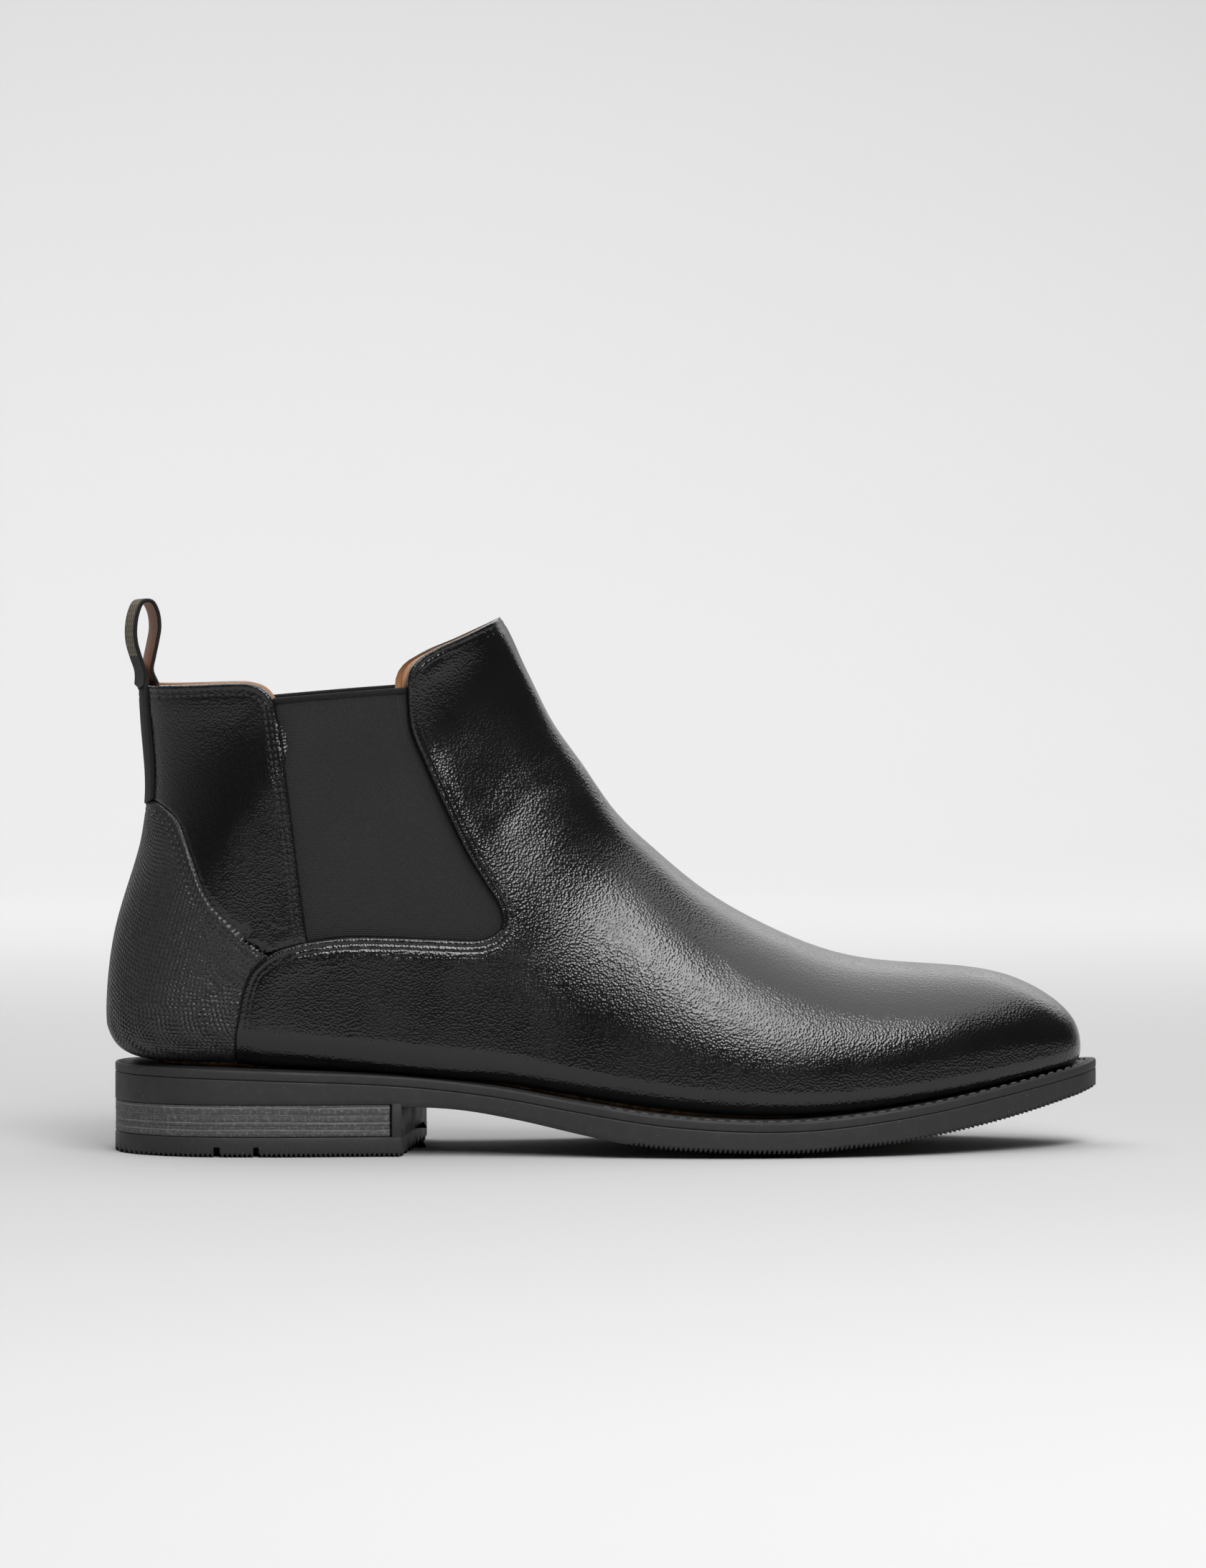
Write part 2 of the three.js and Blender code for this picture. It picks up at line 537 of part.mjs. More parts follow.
add("top_lift", topLift(), "rubber");
nailSpots.forEach((spot, i) => add(`heel_nail_${i + 1}`, nail(spot), "steel"));

const bounds = new THREE.Box3().setFromObject(boot);
const centre = bounds.getCenter(new THREE.Vector3());
boot.position.set(-centre.x, -centre.y, -bounds.min.z);

export default boot;
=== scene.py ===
"""Looks for the chelsea boot: leather, elastic, lining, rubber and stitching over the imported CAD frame."""

import math

import bpy
import numpy as np
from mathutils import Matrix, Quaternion, Vector


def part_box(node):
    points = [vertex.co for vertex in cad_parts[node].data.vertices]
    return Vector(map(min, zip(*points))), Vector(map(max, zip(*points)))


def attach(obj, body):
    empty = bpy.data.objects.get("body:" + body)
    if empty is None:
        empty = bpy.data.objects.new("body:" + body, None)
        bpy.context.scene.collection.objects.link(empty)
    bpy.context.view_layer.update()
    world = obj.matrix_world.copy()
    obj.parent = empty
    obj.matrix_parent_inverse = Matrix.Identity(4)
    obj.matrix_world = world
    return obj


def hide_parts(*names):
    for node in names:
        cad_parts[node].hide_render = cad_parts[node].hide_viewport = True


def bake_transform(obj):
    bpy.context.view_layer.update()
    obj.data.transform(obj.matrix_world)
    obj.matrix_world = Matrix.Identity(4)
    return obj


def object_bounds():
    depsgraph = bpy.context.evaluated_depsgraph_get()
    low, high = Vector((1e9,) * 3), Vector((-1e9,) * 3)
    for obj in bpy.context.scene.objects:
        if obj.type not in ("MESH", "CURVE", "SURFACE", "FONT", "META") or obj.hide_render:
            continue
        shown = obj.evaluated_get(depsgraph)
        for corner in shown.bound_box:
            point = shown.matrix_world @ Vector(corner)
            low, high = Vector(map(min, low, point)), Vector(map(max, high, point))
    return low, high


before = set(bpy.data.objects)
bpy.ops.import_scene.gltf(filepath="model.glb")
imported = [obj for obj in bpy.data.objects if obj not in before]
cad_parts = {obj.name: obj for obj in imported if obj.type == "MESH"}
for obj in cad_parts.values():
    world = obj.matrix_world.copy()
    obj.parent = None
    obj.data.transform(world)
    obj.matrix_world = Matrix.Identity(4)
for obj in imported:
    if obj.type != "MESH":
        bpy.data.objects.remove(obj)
start_low, start_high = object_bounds()

# ---------------------------------------------------------------- sizes, in millimetres, as in the CAD
LEATHER, MIDDLE, LINING = 1.4, 1.0, 0.9
GAP = 0.3
MIDDLE_AT = LEATHER + GAP
LINING_AT = MIDDLE_AT + MIDDLE + GAP
INSIDE_AT = LINING_AT + LINING + GAP
SOLE_LENGTH = 308
WELT = 2.6
TOP_LIFT, LIFT, LIFTS = 6.1, 2.9, 3
HEEL_SEAT_Z = TOP_LIFT + LIFTS * (LIFT + GAP) + GAP
BREAST_X, BREAST_SKEW, BREAST_FLAP = 88, 0.15, 3.2
TREAD_PITCH, TREAD_DEPTH, TREAD_BACK = 1.5, 1.1, 156
NOTCHES, NOTCH_WIDTH, NOTCH_HEIGHT, NOTCH_DEPTH = (30.4, 42.4), 1.7, 3.0, 6
LAYER = 0.0023  # metres between the pale streaks on the stacked heel
CAMBER, CAMBER_REACH, TOE_CAMBER = 1.6, 13, 0.5
LOOP_X, LOOP_Z, LOOP_WIDTH, LOOP_THICK = 9.6, 147.6, 16, 1.2
LOOP_TURN = math.radians(11)  # the loop has been pulled a little askew
STITCH, ROW_GAP, FIRST_ROW = 2.07, 1.55, 1.9
THREAD_LENGTH, THREAD_RADIUS = 1.55, 0.36
WELT_STITCH, WELT_ROW = 3.9, 2.6
DIMPLE_PITCH, DIMPLE_DEPTH, DIMPLE_LEAN = 1.45, 0.42, 0.17
RIB = 0.9
STRIP_HALF, STRIP_LOW, STRIP_HIGH = 9, 108.2, 144.9
HEEL_HALF = 36
PANEL, STRIP, SOCK = 1.1, 0.9, 1.4  # thicknesses of the upper's panels, the back strip and the sock

# [ridge x, z, bottom x, z, lateral width, medial width, centre y, widest share, above, below, squareness]
SECTIONS = np.array([
    [303.0, 31.4, 303.0, 31.4, 0, 0, 3, 0.38, 2.0, 4.0, 5.0],
    [300.3, 39.6, 300.3, 26.6, 13.5, 13, 3, 0.36, 2.0, 4.5, 7.0],
    [291.4, 47.8, 291.4, 24.4, 24.0, 22.5, 3, 0.33, 2.0, 5.0, 9.0],
    [276.0, 54.3, 276.0, 21.1, 33.5, 31, 3, 0.3, 2.0, 6.0, 12.0],
    [254.4, 56.9, 254.4, 16.9, 42.5, 38.5, 3, 0.27, 2.0, 6.0, 12.0],
    [229.0, 59.7, 229.0, 13.0, 48.5, 43, 3.5, 0.24, 2.0, 6.0, 12.0],
    [205.0, 68.5, 205.0, 11.4, 51.0, 43, 4, 0.21, 1.95, 6.0, 12.0],
    [184.5, 80.1, 182.0, 11.9, 49.5, 39, 4, 0.19, 1.95, 6.0, 12.0],
    [168.4, 93.2, 156.0, 14.8, 45.0, 34.5, 3, 0.19, 2.0, 6.0, 12.0],
    [156.0, 105.1, 128.0, 19.4, 39.5, 32, 1.5, 0.2, 2.05, 6.0, 11.0],
    [146.0, 119.2, 98.0, 23.6, 36.5, 33, 0, 0.22, 2.1, 6.0, 9.0],
    [137.4, 131.2, 64.0, 25.8, 35.5, 34, 0, 0.25, 2.2, 5.2, 7.5],
    [131.6, 142.1, 34.0, 26.8, 35.0, 34.5, 0, 0.28, 2.2, 4.4, 6.0],
    [127.6, 150.3, 13.0, 27.8, 34.5, 34.5, 0, 0.3, 2.2, 3.8, 4.4],
    [125.2, 155.5, 0.5, 33.0, 34.2, 34.2, 0, 0.32, 2.2, 3.3, 3.0],
    [123.2, 159.3, -2.3, 48.0, 34.0, 34, 0, 0.35, 2.2, 3.0, 2.4],
    [121.5, 162.4, 0.4, 70.0, 33.5, 33.5, 0, 0.4, 2.2, 2.7, 2.2],
    [120.0, 164.8, 7.0, 92.0, 33.0, 33, 0, 0.45, 2.2, 2.4, 2.0],
    [118.6, 167.0, 10.3, 112.0, 32.0, 32, 0, 0.5, 2.1, 2.2, 2.0],
    [117.0, 169.4, 9.2, 131.0, 31.5, 31.5, 0, 0.5, 2.1, 2.1, 2.0],
    [114.8, 172.2, 8.2, 151.0, 31.0, 31, 0, 0.5, 2.1, 2.1, 2.0],
])
SOLE_OUTLINE = [
    (0, 0), (5, -18), (22, -32), (48, -36.5), (90, -36.5), (125, -41), (158, -49.5), (187, -53), (215, -52),
    (242, -46.5), (269, -36), (290, -23.5), (302.8, -11.5), (308, 3), (303.2, 16.5), (290.5, 28.5),
    (270, 38.5), (246, 46), (220, 50), (195, 48.5), (165, 40.5), (135, 35), (105, 34), (75, 36), (45, 36.5),
    (21, 32), (5, 18),
]
SOLE_TOP = [
    (-30, 28.3), (0, 27.3), (40, 26.2), (88, 24.1), (116, 21.0), (141, 16.6), (167, 12.6), (195, 10.8),
    (216, 11.3), (248, 15.2), (281, 21.4), (320, 29.2),
]
SOLE_BOTTOM = [
    (80, 15.6), (105, 14.4), (122, 11.6), (141, 7.4), (155, 4.4), (168, 2.0), (181, 0.6), (195, 0.1),
    (209, 0.1), (224, 1.2), (240, 3.1), (255, 5.6), (270, 8.5), (286, 12.2), (320, 21.1),
]
COLLAR_BACK = [
    (15, 144.2), (26, 144.6), (36, 145), (41, 144.9), (45, 143.6), (47.5, 141.4), (49.2, 138.6),
]
GORE_BACK = [
    (49.2, 138.6), (50.7, 128), (52.9, 113.5), (54.8, 99), (56.5, 84.5), (57.8, 73.7), (58.7, 66),
]
GORE_FOOT = [
    (58.7, 66), (71, 67.3), (86, 67.2), (100, 66.6), (113, 66.6), (117.5, 69), (119, 73), (117.6, 78),
]
GORE_FRONT = [
    (117.6, 78), (113.6, 84), (107.7, 93.7), (100.6, 108.3), (94.7, 121.6), (90.9, 131.2), (89.8, 143),
]
GORE_TOP = [
    (44, 139.8), (49.2, 140.2), (89.8, 144.2), (95, 144.7),
]
COLLAR_FRONT = [
    (89.8, 143), (89.8, 146.5), (90.8, 149.6), (93.2, 152.5), (97.8, 155.3), (106.4, 159), (118, 164.6),
]
MEETING = (48.4, 62.6)  # where the counter, the quarter and the vamp meet
COUNTER_TOP = [
    (10.7, 108.8), (15, 106.4), (19, 102.6), (21.5, 96.6), (24.5, 88.3), (27.5, 80.4), (31.6, 75),
    (36.4, 70.7), (40.4, 67.3), (44.5, 64.6), MEETING,
]
VAMP_BACK = [
    (58.7, 66), (54.4, 64.9), (51, 63.8), MEETING, (45, 60), (42.2, 57), (39.8, 51), (38.5, 43.8),
    (37.5, 36.5), (37, 28),
]

# Each crease and pucker is [middle x, z, reach, depth, slope].
CREASES = [
    (128, 112, 13, 0.32, 0.55), (122, 104, 10, 0.22, 0.4), (134, 103, 12, 0.26, 0.65),
    (141, 95, 9, 0.16, 0.6), (176, 52, 16, 0.14, -0.9), (186, 58, 14, 0.12, -1.1),
]
VAMP_PUCKERS = [(66, 61, 9, 0.05, 1.2), (88, 61, 9, 0.04, 1.4), (108, 60, 8, 0.03, 1.5)]
QUARTER_PUCKERS = [(50, 68, 7, 0.2, -0.35), (53, 80, 6, 0.06, 0.1)]
WELT_LIP = [  # (distance in from the rim, height over the sole's top line)
    (13, 0.7), (5.6, 0.65), (4.4, 0.1), (3.4, 0.0), (2.6, 0.02), (2.1, 0.14), (1.6, 0.32), (1.1, 0.4),
    (0.6, 0.36), (0.25, 0.2), (0.05, -0.1), (0.0, -0.5), (0.0, -2.1), (0.08, -2.4), (0.3, -2.55),
    (0.8, -2.6), (13, -2.6),
]

outsole_low, outsole_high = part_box("outsole")
loop_low, loop_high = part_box("pull_loop")
heel_low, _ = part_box("top_lift")
SHIFT = np.array([
    outsole_low.x * 1000,
    (loop_low.y + loop_high.y) * 500,
    heel_low.z * 1000,
])


def to_row(points):
    """Boot millimetres, with X = 0 at the back of the heel, to metres in the row frame."""
    return (np.asarray(points, float) + SHIFT) / 1000


# ---------------------------------------------------------------- curves
def natural_spline(values):
    """Natural cubic spline through values at 0, 1, 2 ..."""
    n = len(values)
    system = np.eye(n)
    right = np.zeros(n)
    for i in range(1, n - 1):
        system[i, i - 1:i + 2] = 1, 4, 1
        right[i] = 6 * (values[i + 1] - 2 * values[i] + values[i - 1])
    bend = np.linalg.solve(system, right)

    def at(u):
        i = np.clip(np.floor(u).astype(int), 0, n - 2)
        b = u - i
        a = 1 - b
        curved = ((a**3 - a) * bend[i] + (b**3 - b) * bend[i + 1]) / 6
        return a * values[i] + b * values[i + 1] + curved

    return at


def smooth_line(points, step=0.4, closed=False):
    """A centripetal Catmull-Rom curve through the points, sampled about every step millimetres."""
    p = np.array(points, float)
    n = len(p)
    line = []
    for i in range(n if closed else n - 1):
        p1, p2 = p[i], p[(i + 1) % n]
        p0 = p[i - 1] if closed or i else 2 * p1 - p2
        p3 = p[(i + 2) % n] if closed or i + 2 < n else 2 * p2 - p1
        t0, knots = 0.0, [0.0]
        for a, b in ((p0, p1), (p1, p2), (p2, p3)):
            t0 += max(1e-6, np.linalg.norm(b - a)) ** 0.5
            knots.append(t0)
        count = max(2, int(np.ceil(np.linalg.norm(p2 - p1) / step)))
        t = np.linspace(knots[1], knots[2], count, endpoint=False)[:, None]
        a1 = p0 + (p1 - p0) * t / knots[1]
        a2 = p1 + (p2 - p1) * (t - knots[1]) / (knots[2] - knots[1])
        a3 = p2 + (p3 - p2) * (t - knots[2]) / (knots[3] - knots[2])
        b1 = a1 + (a2 - a1) * t / knots[2]
        b2 = a2 + (a3 - a2) * (t - knots[1]) / (knots[3] - knots[1])
        line.append(b1 + (b2 - b1) * (t - knots[1]) / (knots[2] - knots[1]))
    if not closed:
        line.append(p[-1:])
    return np.concatenate(line)


def height_of(points):
    line = smooth_line(points, 2)
    return lambda x: np.interp(x, line[:, 0], line[:, 1])


def lengths(line):
    """The length along a line at each of its points."""
    return np.concatenate([[0], np.cumsum(np.linalg.norm(np.diff(line, axis=0), axis=1))])


def resample(line, count):
    line = np.asarray(line, float)
    along = lengths(line)
    at = np.linspace(0, along[-1], count)
    return np.stack([np.interp(at, along, line[:, k]) for k in range(line.shape[1])], 1)


def walk(line, step):
    """The same line with points an even step apart, and the length along it."""
    total = lengths(np.asarray(line, float))[-1]
    count = max(2, int(round(total / step)) + 1)
    return resample(line, count), np.linspace(0, total, count)


def distance_to(points, line):
    """Distance of each [x, z] point from a line of points."""
    p = np.asarray(points, float).reshape(-1, 1, 2)
    best = np.full(len(p), 1e9)
    for a, b in zip(line[:-1], line[1:]):
        d = b - a
        t = np.clip(((p[:, 0] - a) @ d) / max(d @ d, 1e-12), 0, 1)
        best = np.minimum(best, np.linalg.norm(p[:, 0] - a - t[:, None] * d, axis=1))
    return best


def smooth_step(value):
    share = np.clip(value, 0, 1)
    return share * share * (3 - 2 * share)


section = [natural_spline(SECTIONS[:, k]) for k in range(SECTIONS.shape[1])]
sole_top = height_of(SOLE_TOP)
sole_bottom = height_of(SOLE_BOTTOM)
TOP_U = len(SECTIONS) - 1


# ---------------------------------------------------------------- the lasted surface
def surface(u, turn, depth=0.0):
    """Points of the boot's surface, moved in by a depth.

    turn runs from 0 at the sole or the back line to pi at the ridge: up the lateral side where it is
    positive, and up the medial side where it is negative.
    """
    u, turn, depth = np.broadcast_arrays(*[np.asarray(value, float) for value in (u, turn, depth)])
    rx, rz, bx, bz, lateral, medial, centre, widest, above, below, square = [f(u) for f in section]
    height = np.maximum(1e-6, np.hypot(rx - bx, rz - bz))
    squeeze = np.maximum(0.02, 1 - depth / np.maximum(height / 2, depth + 0.01))
    c = np.cos(turn)
    low = c > 0
    s = np.abs(c) ** (2 / np.where(low, below, above))
    share = np.where(low, widest * (1 - s), widest + (1 - widest) * s)
    out = np.abs(np.sin(turn)) ** (2 / np.where(low, square, 2))
    width = np.maximum(0.02, np.where(turn > 0, lateral, medial) - depth)
    k = (share - 0.5) * squeeze
    x = (rx + bx) / 2 + (rx - bx) * k
    z = (rz + bz) / 2 + (rz - bz) * k
    return np.stack([x, centre - np.sign(turn) * width * out, z], -1)


FAN = np.linspace(0.05, TOP_U, 2400)
FAN_ENDS = [f(FAN) for f in section[:4]]


def find(points):
    """(u, turn) of the lateral surface's points that are seen at these [x, z] places from the side."""
    p = np.asarray(points, float).reshape(-1, 2)
    rx, rz, bx, bz = FAN_ENDS
    side = (rx - bx) * (p[:, 1:2] - bz) - (rz - bz) * (p[:, 0:1] - bx)
    before, after = side[:, :-1], side[:, 1:]
    i = np.argmax((before <= 0) & (after > 0) | (before >= 0) & (after < 0), axis=1)
    rows = np.arange(len(p))
    s0, s1 = side[rows, i], side[rows, i + 1]
    u = FAN[i] + (FAN[1] - FAN[0]) * np.clip(s0 / (s0 - s1 + 1e-12), 0, 1)
    rx, rz, bx, bz, _, _, _, widest, above, below, _ = [f(u) for f in section]
    dx, dz = rx - bx, rz - bz
    share = np.clip(((p[:, 0] - bx) * dx + (p[:, 1] - bz) * dz) / (dx**2 + dz**2), 0, 1)
    low = share < widest
    s = np.where(low, 1 - share / widest, (share - widest) / (1 - widest))
    c = np.clip(s, 0, 1) ** (np.where(low, below, above) / 2)
    return u, np.arccos(np.where(low, c, -c))


# ---------------------------------------------------------------- panel edges seen from the side
gore_back, gore_foot, gore_front = [smooth_line(p) for p in (GORE_BACK, GORE_FOOT, GORE_FRONT)]
collar_back = smooth_line([(2, 144.2)] + COLLAR_BACK)
collar_front = smooth_line(COLLAR_FRONT)
counter_top = smooth_line([(4, 109.2)] + COUNTER_TOP)
vamp_back = smooth_line(VAMP_BACK)
gore_edge = np.concatenate([gore_back, gore_foot[1:], gore_front[1:]])
vamp_edge = np.concatenate([vamp_back[::-1], gore_foot[1:], gore_front[1:], collar_front[1:]])
corner = int(np.argmin(np.linalg.norm(vamp_back - np.array(MEETING), axis=1)))
quarter_foot = np.concatenate([counter_top, vamp_back[:corner][::-1]])


def offset_line(line, distance):
    """The line moved to its left by a distance."""
    d = np.gradient(np.asarray(line, float), axis=0)
    d /= np.maximum(1e-9, np.linalg.norm(d, axis=1, keepdims=True))
    return line + distance * np.stack([-d[:, 1], d[:, 0]], 1)


# ---------------------------------------------------------------- how panels lie at their edges
def bump(e, centre, width):
    return np.exp(-(((e - centre) / width) ** 2))


def rolled(e, radius):
    """How far an edge rounds down, at a distance from it."""
    return radius * (1 - np.sqrt(np.clip(1 - np.clip((radius - e) / radius, 0, 1) ** 2, 0, 1)))


def folded_edge(e, lift=0.4):
    """Height over the surface, at a distance from a folded edge with two rows of stitches."""
    rise = lift * (1 - smooth_step((e - 5) / 9))
    bead = 0.16 * bump(e, 0.75, 0.6)
    dents = sum(0.16 * bump(e, FIRST_ROW + ROW_GAP * k, 0.36) for k in range(2))
    return rise + bead - dents - 1.6 * rolled(e, 0.55)


def tucked_edge(e, sink):
    """Height over the surface, at a distance from the edge where a panel runs under its neighbour."""
    return -sink * (1 - np.clip(e / 1.4, 0, 1)) ** 2


# ---------------------------------------------------------------- meshes
def make_object(name, vertices, faces, uv=None):
    """A smooth mesh from boot millimetres. Its UV layer holds millimetres along the material."""
    mesh = bpy.data.meshes.new(name)
    mesh.from_pydata(to_row(vertices).tolist(), [], faces)
    mesh.update()
    if uv is not None:
        layer = mesh.uv_layers.new(name="cloth")
        index = np.zeros(len(mesh.loops), int)
        mesh.loops.foreach_get("vertex_index", index)
        layer.data.foreach_set("uv", np.asarray(uv, float)[index].ravel())
    mesh.shade_smooth()
    made = bpy.data.objects.new(name, mesh)
    bpy.context.scene.collection.objects.link(made)
    return made


def grid_faces(rows, columns, base=0, flip=False, wrap=False):
    i = np.arange(rows - 1)[:, None]
    j = np.arange(columns if wrap else columns - 1)[None, :]
    k = (j + 1) % columns
    a, b = base + i * columns + j, base + i * columns + k
    c, d = b + columns, a + columns
    quads = np.stack([a, b, c, d] if flip else [a, d, c, b], -1)
    return quads.reshape(-1, 4).tolist()


def shell_object(name, outer, inner, uv, flip=False):
    """A closed sheet from two grids of points of the same size, joined round their border."""
    rows, columns = outer.shape[:2]
    n = rows * columns
    faces = grid_faces(rows, columns, 0, flip) + grid_faces(rows, columns, n, not flip)
    border = (
        [j for j in range(columns)]
        + [i * columns + columns - 1 for i in range(1, rows)]
        + [(rows - 1) * columns + j for j in range(columns - 2, -1, -1)]
        + [i * columns for i in range(rows - 2, 0, -1)]
    )
    for a, b in zip(border, border[1:] + border[:1]):
        faces.append([a, b, b + n, a + n] if not flip else [b, a, a + n, b + n])
    vertices = np.concatenate([outer.reshape(-1, 3), inner.reshape(-1, 3)])
    coordinates = np.concatenate([uv.reshape(-1, 2)] * 2)
    return make_object(name, vertices, faces, coordinates)


def xz(points):
    return points.reshape(-1, 3)[:, [0, 2]]


def cloth_uv(points):
    """Millimetres along both directions of a grid, from the middle of the grid."""
    along = np.linalg.norm(np.diff(points, axis=1), axis=-1)
    across = np.linalg.norm(np.diff(points, axis=0), axis=-1)
    s = np.concatenate([np.zeros((len(points), 1)), np.cumsum(along, 1)], 1)
    t = np.concatenate([np.zeros((1, points.shape[1])), np.cumsum(across, 0)], 0)
    middle = points.shape[1] // 2
    return np.stack([s - s[:, middle:middle + 1], t], -1)


def closer_at_end(count, fine):
    """Shares from 0 to 1, with closer steps over a fine share at the end."""
    t = np.linspace(0, 1, count)
    end = 1 - fine * np.array([0, 0.1, 0.2, 0.32, 0.45, 0.6, 0.8])
    return np.concatenate([t[t < 1 - fine], end[::-1]])


def panel(name, u, turn, height, thickness, flip=False, side=1):
    """A panel on the surface at (u, turn), standing height above it."""
    outer = surface(u, turn * side, -height)
    inner = surface(u, turn * side, thickness - height)
    return shell_object(name, outer, inner, cloth_uv(outer), flip if side > 0 else not flip)


# ---------------------------------------------------------------- the upper
def vamp_grid(step, columns):
    """Rows of (u, turn) that fan out from the toe and end along the panel's edge."""
    line, _ = walk(vamp_edge, step)
    u_end, turn_end = find(line)
    turn_end[-1] = math.pi - 1e-4
    rising = np.maximum.accumulate(turn_end)
    turn_toe = 0.75 * np.linspace(turn_end[0], turn_end[-1], len(line)) + 0.25 * rising
    share = np.concatenate([np.linspace(0, 0.955, columns) ** 1.25, np.linspace(0.96, 1, 34)])
    u = 0.02 + (u_end[:, None] - 0.02) * share[None, :]
    turn = turn_toe[:, None] + (turn_end - turn_toe)[:, None] * share[None, :] ** 3
    return u, turn


def both_sides(u, turn):
    """Rows up the lateral side and down the medial side."""
    return np.concatenate([u, u[-2::-1]]), np.concatenate([turn, -turn[-2::-1]])


def height_near(u, turn, height):
    """Height over the surface at each grid point, from where it is seen from the side."""
    seen = xz(surface(u, np.abs(turn)))
    return height(seen).reshape(u.shape)


def creases(seen):
    """Shallow folds across the instep, where the leather gives when the boot is walked in."""
    x, z = seen[:, 0], seen[:, 1]
    total = np.zeros(len(seen))
    for cx, cz, reach, depth, slope in CREASES:
        along = (x - cx) * math.cos(slope) + (z - cz) * math.sin(slope)
        off = -(x - cx) * math.sin(slope) + (z - cz) * math.cos(slope)
        off = off + 0.02 * along**2 * math.copysign(1, slope)
        fold = depth * bump(along, 0, reach)
        total += fold * (0.5 * bump(off, 3, 2.4) - bump(off, 0, 1.5))
    return total


def tuck_under(p):
    """The leather is widest a little above the sole and slopes in from there, both down and up."""
    x, z = p[:, 0], p[:, 1]
    crest = sole_top(x) + 1.5 + np.interp(x, [40, 130, 200, 290], [11.0, 10.5, 8, 5])
    below = np.clip(crest - z, 0, 16)
    above = np.clip(z - crest, 0, 26)
    return 0.75 - 0.13 * below - 0.05 * above + 0.001 * above**2


def puckers(p, places):
    """Short wrinkles where sewing gathers the leather, running along a slope from each middle."""
    total = 0
    for cx, cz, reach, depth, slope in places:
        along = (p[:, 0] - cx) * math.cos(slope) + (p[:, 1] - cz) * math.sin(slope)
        off = -(p[:, 0] - cx) * math.sin(slope) + (p[:, 1] - cz) * math.cos(slope)
        long_ridges = np.sin(2 * math.pi * off / 2.3 + 0.35 * along)
        short_ridges = 0.5 * np.sin(2 * math.pi * off / 1.4 - 0.2 * along)
        total = total + depth * (long_ridges + short_ridges) * np.exp(-(along**2 + off**2) / reach**2)
    return total


def swell_under_gore(p):
    """The leather rolls outwards just under the long seam."""
    below = distance_to(p, gore_foot[20:])
    window = np.clip((p[:, 0] - 38) / 12, 0, 1) * np.clip((122 - p[:, 0]) / 22, 0, 1)
    return 1.1 * (1 - np.exp(-below / 6)) * smooth_step(window)


def vamp_height(p):
    edge = vamp_edge[vamp_edge[:, 1] > 27]
    folds = folded_edge(distance_to(p, edge)) + creases(p) + puckers(p, VAMP_PUCKERS)
    return folds + swell_under_gore(p) + tuck_under(p)


def lining_height(p, edge):
    """Under the middle layer, and sinking a little more towards an edge."""
    return -LINING_AT - 0.5 * np.exp(-distance_to(p, edge) / 0.8)


def make_vamp():
    u, turn = both_sides(*vamp_grid(1.3, 92))
    height = height_near(u, turn, vamp_height)
    return panel("vamp_leather", u, turn, height, PANEL)


def make_vamp_lining():
    u, turn = both_sides(*vamp_grid(2.6, 48))
    height = height_near(u, turn, lambda p: lining_height(p, vamp_edge))
    return panel("vamp_lining_leather", u, turn, height, LINING)


def back_line(z_low, z_high, count):
    """u of points up the back line, evenly spaced in height."""
    u = np.linspace(13.2, TOP_U, 800)
    return np.interp(np.linspace(z_low, z_high, count), section[3](u), u)


def counter_grid(rows, columns):
    right = np.concatenate([vamp_back[corner:][::-1], counter_top[::-1][1:]])
    right = resample(right[right[:, 0] > 10.4], rows)
    u_right, turn_right = find(right)
    u_left = back_line(29.5, 109, rows)
    t = np.linspace(0, 1, columns)
    turn = turn_right[:, None] * (1 - t)[None, :]
    u = u_right[:, None] + (u_left - u_right)[:, None] * (np.sin(t * math.pi / 2) ** 1.2)[None, :]
    return np.concatenate([u, u[:, -2::-1]], 1), np.concatenate([turn, -turn[:, -2::-1]], 1)


def counter_height(p):
    top = 0.05 + folded_edge(distance_to(p, counter_top[counter_top[:, 0] > 10]), 0.3)
    return top + tucked_edge(distance_to(p, vamp_back[corner:]), 0.9) + tuck_under(p)


def dimples(u, turn):
    """Depth of the rows of small embossed dimples, which tip down towards the toe."""
    place = cloth_uv(surface(u, turn))
    across, up = place[..., 0], place[..., 1] + DIMPLE_LEAN * np.abs(place[..., 0])
    dots = np.abs(np.sin(math.pi * across / DIMPLE_PITCH) * np.sin(math.pi * up / DIMPLE_PITCH)) ** 1.4
    return DIMPLE_DEPTH * np.clip((dots - 0.3) / 0.45, 0, 1)


def make_counter():
    u, turn = counter_grid(300, 200)
    height = height_near(u, turn, counter_height) - dimples(u, turn)
    return panel("heel_counter_leather", u, turn, height, 1.0, True)


def at_shares(line, shares):
    """Points of a line at shares of its length."""
    line = resample(line, 400)
    steps = np.linspace(0, 1, 400)
    return np.stack([np.interp(shares, steps, line[:, i]) for i in (0, 1)], -1)


def coons(bottom, top, left, right, up, along):
    """A patch between four curves of the same plane, at shares up it and along it.

    bottom and top run from left to right, and left and right run upwards.
    """
    low, high = at_shares(bottom, along), at_shares(top, along)
    first, last = at_shares(left, up), at_shares(right, up)
    s, t = along[None, :, None], up[:, None, None]
    ruled = (1 - t) * low[None] + t * high[None] + (1 - s) * first[:, None] + s * last[:, None]
    corners = (1 - t) * ((1 - s) * low[0] + s * low[-1]) + t * ((1 - s) * high[0] + s * high[-1])
    return ruled - corners


